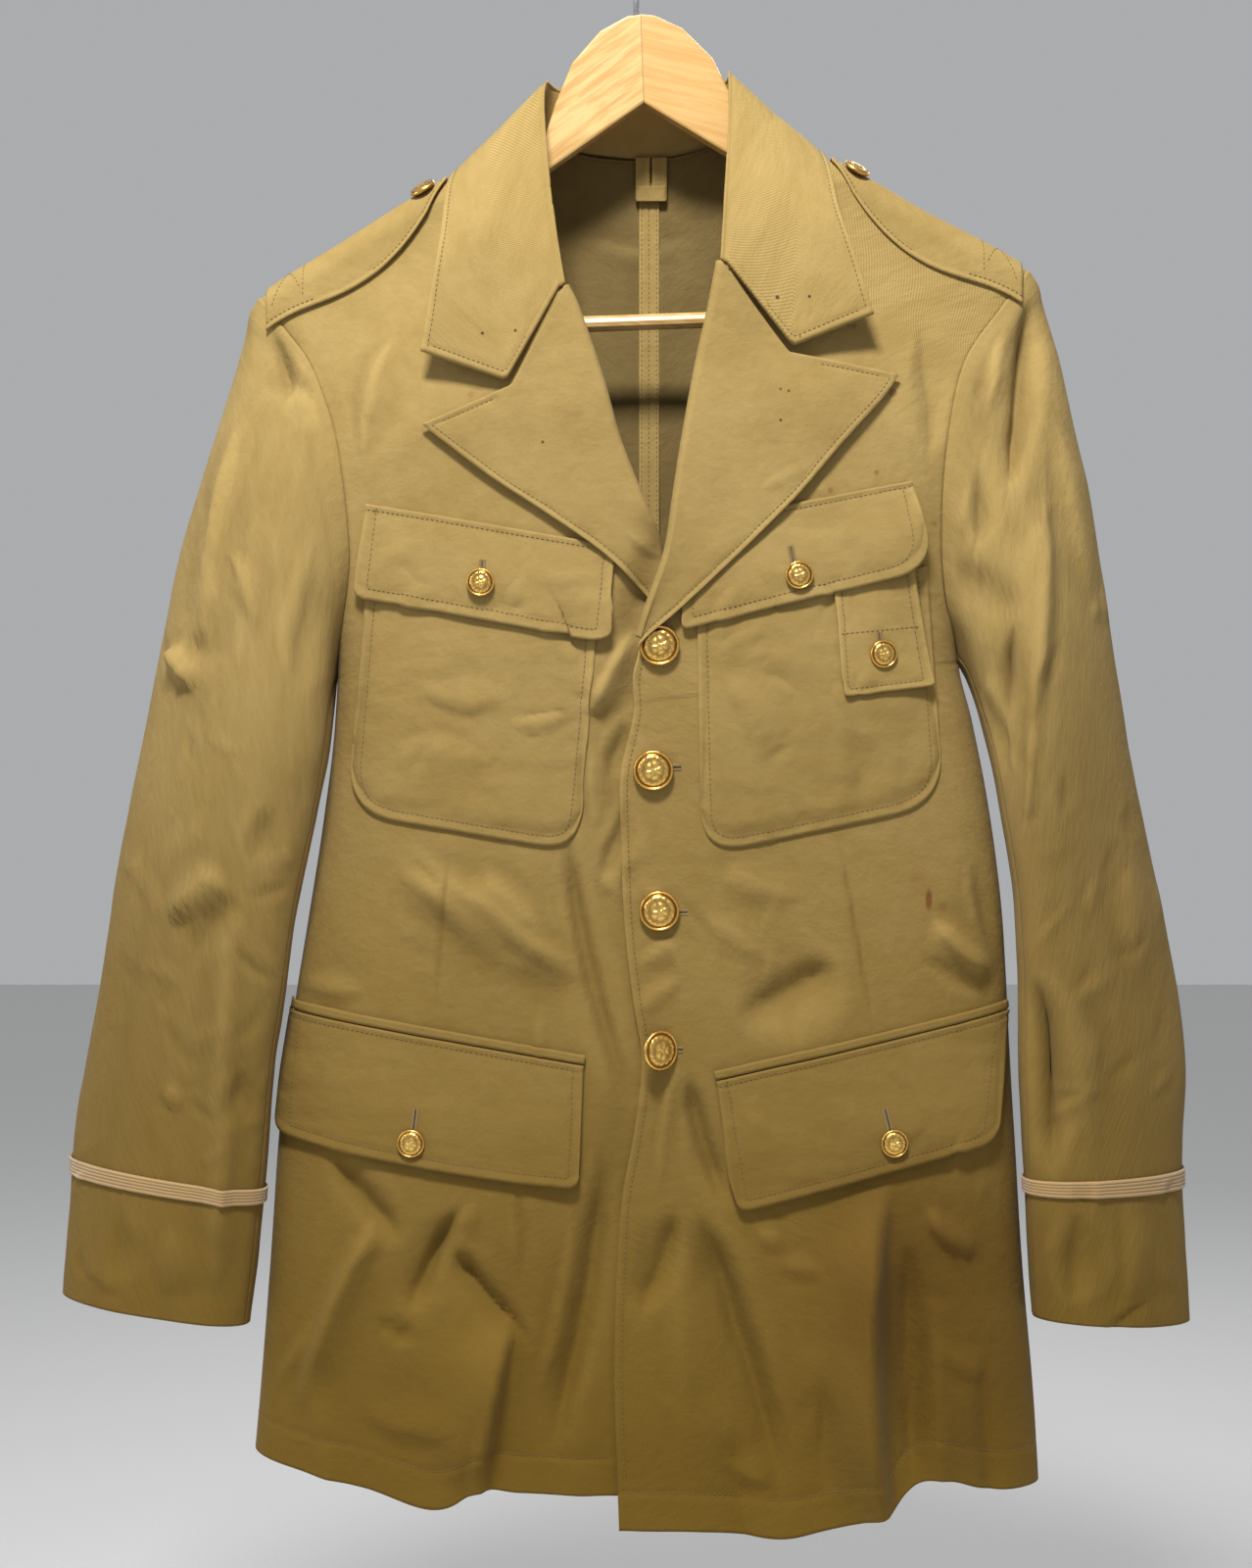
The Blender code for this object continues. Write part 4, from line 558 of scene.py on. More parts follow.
def small_creases(seed, count, left, right, low, high):
    """Rows of thin short creases over a region, most of them running down and across."""
    chance = np.random.default_rng(seed)
    rows = []
    for _ in range(count):
        x, z = chance.uniform(left, right), chance.uniform(low, high)
        turn = chance.normal(-1.1, 0.55) if chance.random() < 0.5 else chance.normal(-2.1, 0.5)
        reach = chance.uniform(14, 40)
        bend = chance.normal(0, 5)
        step_x, step_z = reach * np.cos(turn), reach * np.sin(turn)
        width = chance.uniform(2.4, 4.2)
        height = chance.choice((-1, 1)) * chance.uniform(0.18, 0.5)
        middle_x = x + step_x / 2 - bend * np.sin(turn)
        middle_z = z + step_z / 2 + bend * np.cos(turn)
        rows.append((x, z, middle_x, middle_z, x + step_x, z + step_z, width, width, height))
    return tuple(rows)


def body_depth(x, z, side):
    """How far the coat's body stands before ("front") or behind ("back") the hanger."""
    right = SECTIONS.at("right", z)
    left = SECTIONS.at("left", z)
    middle = (right + left) / 2
    share = np.clip(np.abs(x - middle) / ((left - right) / 2), 0, 1)
    section = SECTIONS.at(side, z) * (1 - share ** SIDE_POWER) ** (1 / SIDE_POWER)
    drop = np.maximum(SHOULDERS.at("z", x) - z, 0)
    cap = RIDGE_RADIUS * np.sqrt(1 - (1 - np.minimum(drop / RIDGE_RADIUS, 1)) ** 2)
    fill = smoothstep(drop / SHOULDER_FALL)
    return cap * (1 - fill) + section * fill


def overlap_dip(x, z):
    """How far the right front lies behind the left front near the overlap."""
    edge = FRONT_EDGE.at("x", z)
    fade = smoothstep((x - edge + OVERLAP_START) / (OVERLAP_START - OVERLAP_END))
    return FRONT_EDGE.at("under", z) * fade * smoothstep((OVERLAP_TOP - z) / 30)


def grid_normals(points):
    """Unit normals of a grid of points, from its rows and columns."""
    return unit(np.cross(np.gradient(points, axis=1), np.gradient(points, axis=0)))


def front_base(x, z, right_front):
    """The fronts' middle surface before its folds."""
    depth = np.maximum(body_depth(x, z, "front"), ROUND_SEAM_GAP / 2)
    if right_front:
        depth = depth - overlap_dip(x, z)
    return np.stack([x, -depth, z], axis=-1)


def back_base(x, z):
    """The back's middle surface before its folds."""
    return np.stack([x, np.maximum(body_depth(x, z, "back"), ROUND_SEAM_GAP / 2), z], axis=-1)


def resample(points, shares):
    """A curve's points at shares of its length, or a number of evenly spaced ones."""
    run = lengths(points)
    shares = np.linspace(0, 1, shares) if isinstance(shares, int) else np.asarray(shares)
    return at_lengths(shares * run[-1], run, points)


def neck_height(x):
    """Height of the back's upper edge: the shoulder ridge, then the neck seam."""
    places = np.linspace(3, 7, 33)
    seam_x = COLLAR.at("seam_x", places)
    seam_z = COLLAR.at("seam_z", places) - 2.0
    return np.where((x > seam_x[0]) & (x < seam_x[-1]), np.interp(x, seam_x, seam_z),
                    SHOULDERS.at("z", x))


def inner_edge(edges, row, face):
    """The panel's inner edge at a row: front edge, roll line, neck, or centre back seam."""
    x = edges.at("inner_x", row)
    z = edges.at("inner_z", row)
    if face.startswith("back"):
        return x, z
    right = face == "front_right"
    outward = -1 if right else 1
    if row >= GORGE_ROW:
        place = (row - GORGE_ROW) * 1.5
        place = place if right else 10 - place
        x = COLLAR.at("seam_x", place) + outward * NECK_SETBACK
        z = min(COLLAR.at("seam_z", place) - NECK_SETBACK, SHOULDERS.at("z", x))
    elif row >= BREAK_ROW:
        roll = LAPEL_RIGHT if right else LAPEL_LEFT
        place = (GORGE_ROW - row) * 7 / 3
        x = roll.at("roll_x", place) + outward * ROLL_SETBACK
        z = roll.at("roll_z", place)
    elif not right:
        x = FRONT_EDGE.at("x", z)
    return x, z


def panel_grid(edges, rows, columns, face):
    """Grid of a body panel in rows from the hem to the shoulder."""
    hem = HEMS.get(face)
    front = face.startswith("front")
    grid = []
    for row in rows:
        outer_x = edges.at("outer_x", row)
        outer_z = edges.at("outer_z", row)
        inner_x, inner_z = inner_edge(edges, row, face)
        if row < 4:
            outer_x = SECTIONS.at("right" if outer_x < 0 else "left", outer_z)
        turn = np.linspace(0, pi / 2, PANEL_CURVE)
        share = 1 - np.cos(turn) ** (2 / SIDE_POWER)
        x = outer_x + (inner_x - outer_x) * share
        z = outer_z + (inner_z - outer_z) * share
        bend = smoothstep((row - SHOULDER_BEND_START) / (10 - SHOULDER_BEND_START))
        ridge = SHOULDERS.at("z", x) if front else neck_height(x)
        z = z + bend * (ridge - ridge[0] - (ridge[-1] - ridge[0]) * share)
        if hem is not None and row < 1:
            ruled = hem.at("z", outer_x) + (hem.at("z", inner_x) - hem.at("z", outer_x)) * share
            z = z + (1 - row) ** 2 * (hem.at("z", x) - ruled)
        curve = front_base(x, z, face == "front_right") if front else back_base(x, z)
        grid.append(resample(curve, columns))
    return np.array(grid)


def edge_fade(points):
    """Folds die away towards the side seams and the shoulder ridge."""
    return smoothstep(np.abs(points[..., 1]) / EDGE_FADE)


def rounded_edge(start, end, rise_start, rise_end, radii, sag, shares):
    """A lower edge between two corners, with the corners rounded off."""
    start = np.array(start, dtype=float)
    end = np.array(end, dtype=float)
    points = []
    steps = np.linspace(0, 1, CORNER_STEPS + 1)
    for corner, toward, rise, radius, reverse in (
            (start, end, rise_start, radii[0], False), (end, start, rise_end, radii[1], True)):
        along = unit(toward - corner)
        up = unit(np.array(rise) - corner)
        arc = [curved(corner + up * radius, corner, corner + along * radius, t) for t in steps]
        points.append(arc[::-1] if reverse else arc)
    width = np.linalg.norm(end - start)
    first, last = radii[0] / width + 0.03, 1 - radii[1] / width - 0.03
    middle = [start + (end - start) * t - np.array([0, sag * 4 * t * (1 - t)])
              for t in np.linspace(max(0.2, first), min(0.8, last), 7)]
    return resample(np.array(points[0] + middle + points[1]), shares)


def sleeve_section(table, row, turn):
    """A point of the sleeve's own table; turn runs from the outer edge over the front."""
    share = (1 - np.cos(turn)) / 2
    x = table.at("outer_x", row) * (1 - share) + table.at("inner_x", row) * share
    z = table.at("outer_z", row) * (1 - share) + table.at("inner_z", row) * share
    x = x - np.sign(x) * table.at("bow", row) * np.sin(turn) ** 2
    y = (table.at("middle", row) + table.at("skew", row) * np.cos(turn)
         - table.at("depth", row) * squeezed(np.sin(turn), SLEEVE_POWER))
    return np.stack([x, y, z], axis=-1)


def sleeve_point(table, row, turn, armhole):
    """Point of a sleeve's middle surface, whose first row is the armhole's true loop."""
    fade = 1 - smoothstep(np.asarray(row) / 2.0)
    shift = armhole(turn) - sleeve_section(table, 0, turn)
    return sleeve_section(table, row, turn) + fade[..., None] * shift


def armhole_loop(front, back):
    """A function from the turn round the sleeve to the armhole's edge, moved out a little."""
    def edge(table, side):
        x = table.at("outer_x", ARMHOLE_ROWS)
        z = table.at("outer_z", ARMHOLE_ROWS)
        return x, z, np.maximum(body_depth(x, z, side), ROUND_SEAM_GAP / 2)

    front_x, front_z, front_y = edge(front, "front")
    back_x, back_z, back_y = edge(back, "back")
    outward = np.sign(front_x[0])

    def loop(turn):
        share = (1 - np.cos(turn)) / 2
        on_front = np.sin(turn) >= 0
        z = np.where(on_front, front_z[-1] * (1 - share) + front_z[0] * share,
                     back_z[-1] * (1 - share) + back_z[0] * share)
        x = np.where(on_front, np.interp(z, front_z, front_x), np.interp(z, back_z, back_x))
        y = np.where(on_front, -np.interp(z, front_z, front_y), np.interp(z, back_z, back_y))
        return np.stack([x + outward * SLEEVE_START, y, z], axis=-1)

    return loop


def tangent(points):
    """Unit direction along a curve of points."""
    return unit(np.gradient(points, axis=0))


def collar_belly(places, t):
    """The fall rounds forward over the chest and backward over the back."""
    front = smoothstep((3 - np.minimum(places, 10 - places)) / 2)
    back = 1 - smoothstep(np.abs(places - 5) / 2)
    return 4 * t * (1 - t) * (3.0 * back - 1.5 * front)


def end_bend(places, t, fold, edge):
    """The ends of the collar run along the gorge to the notch, then to the point."""
    shift = np.zeros((len(places), 3))
    for notch, index, near in zip(COLLAR_NOTCHES, (0, -1), (places, 10 - places)):
        gorge = fold[index, [0, 2]]
        point = edge[index, [0, 2]]
        shift_xz = corner_path(gorge, np.array(notch), point, t) - (gorge + (point - gorge) * t)
        fade = (1 - smoothstep(near / 1.6))[:, None]
        shift[:, [0, 2]] += fade * shift_xz
    return shift


def corner_path(start, corner, end, t):
    """Point at a share t of the way from start over a corner to end."""
    first = np.linalg.norm(corner - start)
    second = np.linalg.norm(end - corner)
    run = t * (first + second)
    if run <= first:
        return start + (corner - start) * run / first
    return corner + (end - corner) * (run - first) / second


def collar_grid(places, rows):
    """Rows 0 to 1 are the stand, 1 to 2 the soft fold, 2 to 3 the fall."""
    def along(name):
        return np.stack([COLLAR.at(f"{name}_{axis}", places) for axis in "xyz"], axis=-1)

    seam = along("seam")
    fold = along("fold")
    edge = along("edge")
    out = unit(edge - fold)
    turned = fold + out * COLLAR_ROUND
    grid = []
    for row in rows:
        if row <= 1:
            points = seam + (fold - seam) * row
        elif row <= 2:
            t = row - 1
            crown = fold + out * COLLAR_ROUND / 2 + np.cross(out, tangent(fold)) * 1.6
            points = curved(fold, crown, turned, t)
        else:
            t = row - 2
            points = turned + (edge - turned) * t
            points = points + end_bend(places, t, fold, edge)
            points[:, 1] += collar_belly(places, t)
        grid.append(points)
    return np.array(grid)


def lapel_grid(table, notch, places, rows, right_front):
    """Rows 0 to 1 lie behind the front, 1 to 2 go round the roll, 2 to 5 lie on the chest."""
    roll = np.stack([table.at("roll_x", places), table.at("roll_z", places)], axis=-1)
    edge = np.stack([table.at("edge_x", places), table.at("edge_z", places)], axis=-1)
    high = table.at("lift", places)
    run = tangent(roll)
    inward = np.stack([run[:, 1], -run[:, 0]], axis=-1)
    inward = inward * np.sign(np.mean(inward[:, 0]) * (1 if right_front else -1))
    grid = []
    for row in rows:
        if row <= 1:
            plan = roll - inward * LAPEL_ROOT * (1 - row)
            back = np.full(len(places), LAPEL_ROOT_LAYER)
        elif row <= 2:
            angle = (row - 1) * pi
            plan = roll + inward * LAPEL_NOSE * sin(angle)
            back = (LAPEL_ROOT_LAYER * cos(angle)
                    - (high * (1 + LAPEL_ROLL_LIFT) - LAPEL_ROOT_LAYER) * (row - 1))
        else:
            t = (row - 2) / 3
            plan = roll + (edge - roll) * t
            bend = corner_path(roll[0], np.array(notch), edge[0], t)
            shift = bend - (roll[0] + (edge[0] - roll[0]) * t)
            plan = plan + (1 - smoothstep(places / 2.2))[:, None] * shift
            back = -high * (1 + LAPEL_ROLL_LIFT * (1 - t) ** 2)
        surface, _ = front_point(plan[:, 0], plan[:, 1], np.zeros(len(places)), right_front)
        surface[:, 1] += back
        grid.append(surface)
    return np.array(grid)


def ridge_point(x, across):
    """A point on the shoulder: across runs over the ridge, negative to the front."""
    quarter = RIDGE_RADIUS * pi / 2
    arc = np.minimum(np.abs(across), quarter) / RIDGE_RADIUS
    drop = RIDGE_RADIUS * (1 - np.cos(arc)) + np.maximum(np.abs(across) - quarter, 0)
    z = SHOULDERS.at("z", x) - drop
    depth = np.where(np.abs(across) < 0.01, 0.0,
                     np.where(across < 0, -body_depth(x, z, "front"), body_depth(x, z, "back")))
    return np.stack([x, depth, z], axis=-1)


def front_point(x, z, layer, right_front):
    """A point over the fronts' surface with its folds, and the outward normal there."""
    def surface(at_x, at_z):
        base = front_base(at_x, at_z, right_front)
        base[..., 1] -= pinned_relief(at_x, at_z) * edge_fade(base)
        return base

    x = np.asarray(x, dtype=float)
    z = np.asarray(z, dtype=float)
    across = surface(x + NORMAL_STEP, z) - surface(x - NORMAL_STEP, z)
    up = surface(x, z + NORMAL_STEP) - surface(x, z - NORMAL_STEP)
    normal = unit(np.cross(across, up))
    return surface(x, z) + normal * np.asarray(layer)[..., None] * PLY, normal


def pinned_relief(x, z):
    """The fronts' relief, where fine creases die away close to a button."""
    x = np.asarray(x, dtype=float)
    z = np.asarray(z, dtype=float)
    fine = fold_height(x, z, FINE_FOLDS + FRONT_SMALL, True)
    fine = fine + uneven(x, z) * smoothstep((FRONT_LIE_TOP - z) / LIE_FADE)
    for at_x, at_z in PINS:
        fine = fine * (1 - bell(np.hypot(x - at_x, z - at_z), PIN_REACH))
    return main_relief(x, z) + fine


def main_relief(x, z):
    """The fronts' main folds, among them those that run out through the hem."""
    return FOLD_GAIN * fold_height(x, z, FRONT_FOLDS) + fold_height(x, z, HEM_FOLDS)


# Short creases by chance: pattern, how many, and the left, right, low and high limits
FRONT_SMALL = (small_creases(3, 26, -190, 200, -545, -330)
               + small_creases(4, 46, -200, 210, -900, -545))
SLEEVE_SMALL = (small_creases(5, 60, -320, -190, -820, -330)
                + small_creases(6, 60, 190, 310, -820, -330))
BACK_SMALL = small_creases(7, 60, -200, 210, -900, -300)
FOLD_GAIN = 2.0          # height of the main folds over that of the solids'
PIN_REACH = 11.0         # fine creases die away this close to a button
FRONT_LIE_TOP = -120.0   # z above which the front's cloth lies evenly
BACK_LIE_TOP = -150.0    # and the back's
LIE_FADE = 60.0
PINS = [row[:2] for row in (*FRONT_BUTTONS, *POCKET_BUTTONS.values())]


def runs(grid):
    """Distance along each row from its start, and up each column from its foot, in mm."""
    across = np.zeros(grid.shape[:2])
    across[:, 1:] = np.cumsum(np.linalg.norm(np.diff(grid, axis=1), axis=2), axis=1)
    up = np.zeros(grid.shape[:2])
    up[1:] = np.cumsum(np.linalg.norm(np.diff(grid, axis=0), axis=2), axis=0)
    return across, up


FAR = 1000.0             # a distance that is far from every edge


def edge_distance(grid, sides):
    """Distance of each point from the nearest of the named sides of a grid."""
    across, up = runs(grid)
    found = {"start": across, "end": across[:, -1:] - across,
             "low": up, "high": up[-1:] - up}
    away = np.full(grid.shape[:2], FAR)
    for side in sides:
        away = np.minimum(away, found[side])
    return away


def facing_normals(grid, outward, rows=slice(None)):
    """Normals of a grid that face the outward direction, as its rows judge it."""
    normal = grid_normals(grid)
    agree = np.mean(np.sum((normal * np.asarray(outward, dtype=float))[rows], axis=-1))
    return normal if agree > 0 else -normal


def turned_to(grid, side, undo=False):
    """The grid with a side as its first column, or the same turn undone."""
    if side == "high" and not undo:
        grid = grid[::-1]
    if side in ("low", "high"):
        grid = grid.transpose(1, 0, 2)
    if side == "high" and undo:
        grid = grid[::-1]
    return grid[:, ::-1] if side == "end" else grid


def tuck(grid, sides, outward, over, under):
    """Turn sewn edges in, so that two neighbours meet in a groove."""
    for side in sides:
        normal = turned_to(facing_normals(grid, outward), side)[:, 0]
        turned = turned_to(grid, side)
        away = unit(turned[:, 0] - turned[:, 1])
        bent = turned[:, 0] + away * over * 0.7 - normal * under * 0.3
        deep = turned[:, 0] + away * over - normal * under
        grid = turned_to(np.concatenate([deep[:, None], bent[:, None], turned], axis=1), side, True)
    return grid


def padded(values, sides):
    """A grid's values carried on over the two lines that each tucked side adds."""
    more = [(2 * (first in sides), 2 * (last in sides))
            for first, last in (("low", "high"), ("start", "end"))]
    return np.pad(values, more + [(0, 0)] * (values.ndim - 2), mode="edge")


def blurred(values, reach):
    """Mean over a square of cells on each side of every cell."""
    for axis in (0, 1):
        padded = np.concatenate([np.repeat(np.take(values, [0], axis), reach + 1, axis), values,
                                 np.repeat(np.take(values, [-1], axis), reach, axis)], axis)
        total = np.cumsum(padded, axis=axis)
        count = values.shape[axis]
        ahead = np.take(total, np.arange(count) + 2 * reach + 1, axis)
        values = (ahead - np.take(total, np.arange(count), axis)) / (2 * reach + 1)
    return values


RIM_RISE = 0.28          # how much thicker an edge is outside its stitches
GROOVE_DEPTH = 0.38      # and how deep the stitches draw it in


def edge_profile(away, inset):
    """Relief of a stitched edge: a thicker rim and a groove under the stitches."""
    rim = RIM_RISE * (1 - smoothstep((away - inset + 2.5) / 2.0))
    return rim - GROOVE_DEPTH * bell(away - inset, 1.0)


def pucker(grid, away, inset, seed):
    """Small gathers along a line of stitches."""
    return 0.22 * wave(*runs(grid), 6.5, seed) * bell(away - inset, 5.0)


def add_object(name, data, look):
    """Put a mesh into the scene with its material."""
    made = bpy.data.objects.new(name, data)
    bpy.context.scene.collection.objects.link(made)
    data.materials.append(look)
    return made


def set_values(mesh, name, kind, values):
    """Store a value for every point of a mesh."""
    attribute = mesh.attributes.new(name, kind, "POINT")
    key = "vector" if kind == "FLOAT_VECTOR" else "value"
    attribute.data.foreach_set(key, np.ascontiguousarray(values, dtype=np.float32).ravel())


def grid_faces(rows, columns, closed=False):
    """The quads between a grid's points, also between its last and first column if closed."""
    index = np.arange(rows * columns).reshape(rows, columns)
    right = np.roll(index, -1, axis=1) if closed else index[:, 1:]
    left = index if closed else index[:, :-1]
    return np.stack([left[:-1], right[:-1], right[1:], left[1:]], axis=-1).reshape(-1, 4)


def add_cloth(name, grid, wall, look, tone=0.0, worn=(), closed=False, weave=None, seam=0.0):
    """A piece of cloth over a grid of points, with what its material reads at each point."""
    size = grid.shape[:2]
    mesh = bpy.data.meshes.new(name)
    mesh.from_pydata((grid.reshape(-1, 3) * MM).tolist(), [], grid_faces(*size, closed).tolist())
    across, up = runs(grid)
    cloth = np.stack([across - across[:, -1:] / 2, up, np.zeros_like(up)], axis=-1)
    if weave is not None:
        cloth[..., :2] = weave
    set_values(mesh, "cloth", "FLOAT_VECTOR", cloth)
    # The tone is the relief over its surroundings: the cloth materials turn it into painted
    # highlight on crests and painted shade in hollows.
    tone = np.broadcast_to(tone, size)
    raised = np.clip((tone - blurred(tone, TONE_REACH)) / TONE_HEIGHT, -1, 1)
    set_values(mesh, "tone", "FLOAT", raised)
    set_values(mesh, "edge", "FLOAT", bell(edge_distance(grid, worn), EDGE_WEAR))
    set_values(mesh, "seam", "FLOAT", np.broadcast_to(seam, size))
    shape = bmesh.new()
    shape.from_mesh(mesh)
    bmesh.ops.recalc_face_normals(shape, faces=shape.faces)
    shape.to_mesh(mesh)
    shape.free()
    mesh.shade_smooth()
    made = add_object(name, mesh, LOOKS[look])
    thick = made.modifiers.new("Wall", "SOLIDIFY")
    thick.thickness = wall * MM
    thick.offset = 0.0
    return made


TONE_REACH = 4           # cells over which a crest or a hollow is judged
TONE_HEIGHT = 0.9        # height over its surroundings that counts as a full crest
EDGE_WEAR = 2.2          # width of the paler worn edge


def dress(made, node):
    """Let a piece ride with the coat and stand for its node."""
    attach(made, "root")
    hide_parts(node)


def declare(made, node):
    """Dress a piece of cloth and look up the size that it was cut to in the table of cuts; the size
    is not used further.
    """
    dress(made, node)
    width, length, share = CUTS[node]
    width, length = width * MM, length * MM


def add_piece(node, grid, wall, look, held="hung", rests_on=("hanger_arms",), **cloth):
    """A piece of cloth that stands for its node."""
    declare(add_cloth(node + "_cloth", grid, wall, look, **cloth), node)


def hem_relief(grid, seed):
    """The turned-up hem: double cloth below a line of stitches that gathers a little."""
    across, up = runs(grid)
    beyond = up - HEM_TURN
    double = HEM_DOUBLE * (1 - smoothstep((beyond + 2) / 3))
    gather = HEM_GATHER * wave(across, up, 10.0, seed) * bell(beyond, 9.0)
    edge = HEM_SWAY * wave(across, up * 0, 16.0, seed + 1) * bell(up, 14.0)
    return double - HEM_GROOVE * bell(beyond, 1.4) + gather + edge


HEM_TURN = 21.0          # height of the hem's stitches over the edge
HEM_DOUBLE = 0.5         # rise of the double cloth below them
HEM_GROOVE = 0.45        # depth of their groove
HEM_GATHER = 0.35        # height of the gathers beside them
HEM_SWAY = 0.5           # sway of the edge
PANEL_ROWS = np.concatenate([np.linspace(0, 0.28, 22), np.linspace(0.31, 10, 300)])
FRONT_COLUMNS = 108
BACK_PANEL_ROWS = np.concatenate([np.linspace(0, 0.28, 18), np.linspace(0.32, 10, 190)])
BACK_COLUMNS = 66
GRIDS = {}               # the grid of each piece that carries stitches
SEWN_FADE = 9.0          # folds die away this close to a sewn edge
TUCK = (0.45, 1.5)       # how far a panel's edge turns over and under
SLEEVE_TUCK = (0.35, 1.3)
HEAD_TUCK = (0.8, 1.6)
COLLAR_TUCK = (0.5, 2.2)
EDGE_STITCH = 4.0        # from the front's edge in to its stitches


def add_fronts():
    """The two fronts with their darts, hems and creases."""
    for face, edges in (("front_right", FRONT_RIGHT), ("front_left", FRONT_LEFT)):
        base = panel_grid(edges, PANEL_ROWS, FRONT_COLUMNS, face)
        x, z = base[..., 0], base[..., 2]
        sewn = smoothstep(edge_distance(base, ["start"]) / SEWN_FADE)
        broad = main_relief(x, z)
        relief = broad + (pinned_relief(x, z) - broad) * sewn
        dart = fold_height(x, z, DARTS[face])
        detail = hem_relief(base, 31) + dart
        if face == "front_left":
            below = smoothstep((-432 - z) / 12)
            detail = detail + edge_profile(edge_distance(base, ["end"]), EDGE_STITCH) * below
        grid = base.copy()
        grid[..., 1] -= (relief + detail * sewn) * edge_fade(base)
        finish_panel(face, grid, relief + detail, ("start", "high"), (0, -1, 0), "coat",
                     worn=("low", "end"), seam=np.clip(dart / DART_DEPTH, 0, 1))


def finish_panel(face, grid, relief, sides, outward, look, worn, seam):
    """Turn in a panel's sewn edges and make its cloth."""
    weave = np.stack([runs(grid)[0] + grid[:, :1, 0], grid[..., 2]], axis=-1)
    GRIDS[face] = tuck(grid, sides, outward, *TUCK)
    add_piece(face, GRIDS[face], WALL, look, tone=padded(relief, sides), worn=worn,
              weave=padded(weave, sides), seam=padded(seam, sides))


def add_backs():
    """The two halves of the back."""
    for face, edges in (("back_right", BACK_RIGHT), ("back_left", BACK_LEFT)):
        base = panel_grid(edges, BACK_PANEL_ROWS, BACK_COLUMNS, face)
        base[:, -1, 0] = CENTRE_BACK + (0.3 if face == "back_left" else -0.3)
        x, z = base[..., 0], base[..., 2]
        sewn = smoothstep(edge_distance(base, ["start", "end"]) / SEWN_FADE)
        fine = fold_height(x, z, BACK_CREASES + BACK_SMALL, True) + uneven(x, z, 100)
        fine = fine * smoothstep((BACK_LIE_TOP - z) / LIE_FADE)
        relief = fold_height(x, z, BACK_FOLDS) + fine * sewn + hem_relief(base, 41) * sewn
        grid = base.copy()
        grid[..., 1] += relief * edge_fade(base)
        finish_panel(face, grid, relief, ("start", "high", "end"), (0, 1, 0), "back",
                     worn=("low",), seam=np.zeros(x.shape))


def flat_plan(size, columns, rows):
    """A flat piece's places in the front view and its layer, ruled from top to lower edge."""
    shares = np.linspace(0, 1, columns)
    top = resample(size["top"], shares)
    low = rounded_edge(*size["bottom"], *size["top"], size["radii"], size["sag"],
                       np.linspace(0, 1, 400))
    low = resample(low, shares)
    share = np.linspace(0, 1, rows)[:, None, None]
    plan = top[None] * (1 - share) + low[None] * share
    upper, start, end = size["layers"]
    lower = (start + (end - start) * shares)[None]
    return plan, upper + (lower - upper) * smoothstep(share[..., 0] * 1.4)


FLAT_CELL = {"pocket": 2.0, "flap": 1.8, "welt": 1.4, "tab": 1.2}
FLAT_INSET = {"pocket": 5.5, "flap": 6.0, "welt": 100.0, "tab": 4.0}
FLAP_TOP_STITCH = 3.2
CLINGING = 0.62          # layers by which a sewn pocket edge lies closer to the front


def add_flat_pieces():
    """Pockets, flaps, welts and the tab."""
    for number, (name, size) in enumerate(FLAT_PIECES.items()):
        kind = next(k for k in ("tab", "welt", "flap", "pocket") if k in name)
        wide = np.linalg.norm(np.subtract(*size["top"]))
        tall = np.linalg.norm(np.subtract(size["top"][0], size["bottom"][0]))
        columns = int(wide / FLAT_CELL[kind])
        rows = max(int(tall / FLAT_CELL[kind]), 4)
        plan, layer = flat_plan(size, columns, rows)
        x, z = plan[..., 0], plan[..., 1]
        right_front = x[0, 0] < 0
        base, _ = front_point(x, z, layer, right_front)
        away = edge_distance(base, ["start", "end", "high"])
        low_away = edge_distance(base, ["low"])    # from the upper edge, the grid's first row
        inset = FLAT_INSET[kind]
        if kind == "pocket":
            layer = layer - CLINGING * (1 - smoothstep((away - inset) / 9.0))
        if kind == "welt":
            layer = layer - 0.1
        detail = edge_profile(away, inset) + pucker(base, away, inset, 50 + number)
        if kind == "flap":
            detail = detail + edge_profile(low_away, FLAP_TOP_STITCH)
        own = 0.45 * wave(x, z, 34.0, 60 + number) + 0.18 * wave(x, z, 13.0, 70 + number)
        own = own + 0.3 * wave(x / 2.6, z * 1.5, 11.0, 80 + number)
        own = own * smoothstep(np.minimum(away, low_away) / 12.0) + detail
        if name in CURLS:
            own = own + curl(plan, CURLS[name])
        grid, _ = front_point(x, z, layer + own / PLY, right_front)
        add_piece(name, grid, TRIM_WALL, "trim" if kind == "tab" else "coat",
                  rests_on=["front_right" if right_front else "front_left"], tone=own,
                  worn=("start", "end", "high"), weave=plan)
        GRIDS[name] = grid


# Flap corners that stand away from the coat: x, z, reach and height
CURLS = {
    "breast_flap_left": (166, -396, 26, 3.0),
    "breast_flap_right": (-17, -440, 26, 1.6),
    "hip_flap_left": (203, -725, 30, 2.2),
    "hip_flap_right": (-33, -750, 24, 1.6),
    "pocket_tab": (167, -466, 14, 1.8),
}


def curl(plan, place):
    """A corner that turns up."""
    x, z, reach, height = place
    return height * bell(np.hypot(plan[..., 0] - x, plan[..., 1] - z), reach)


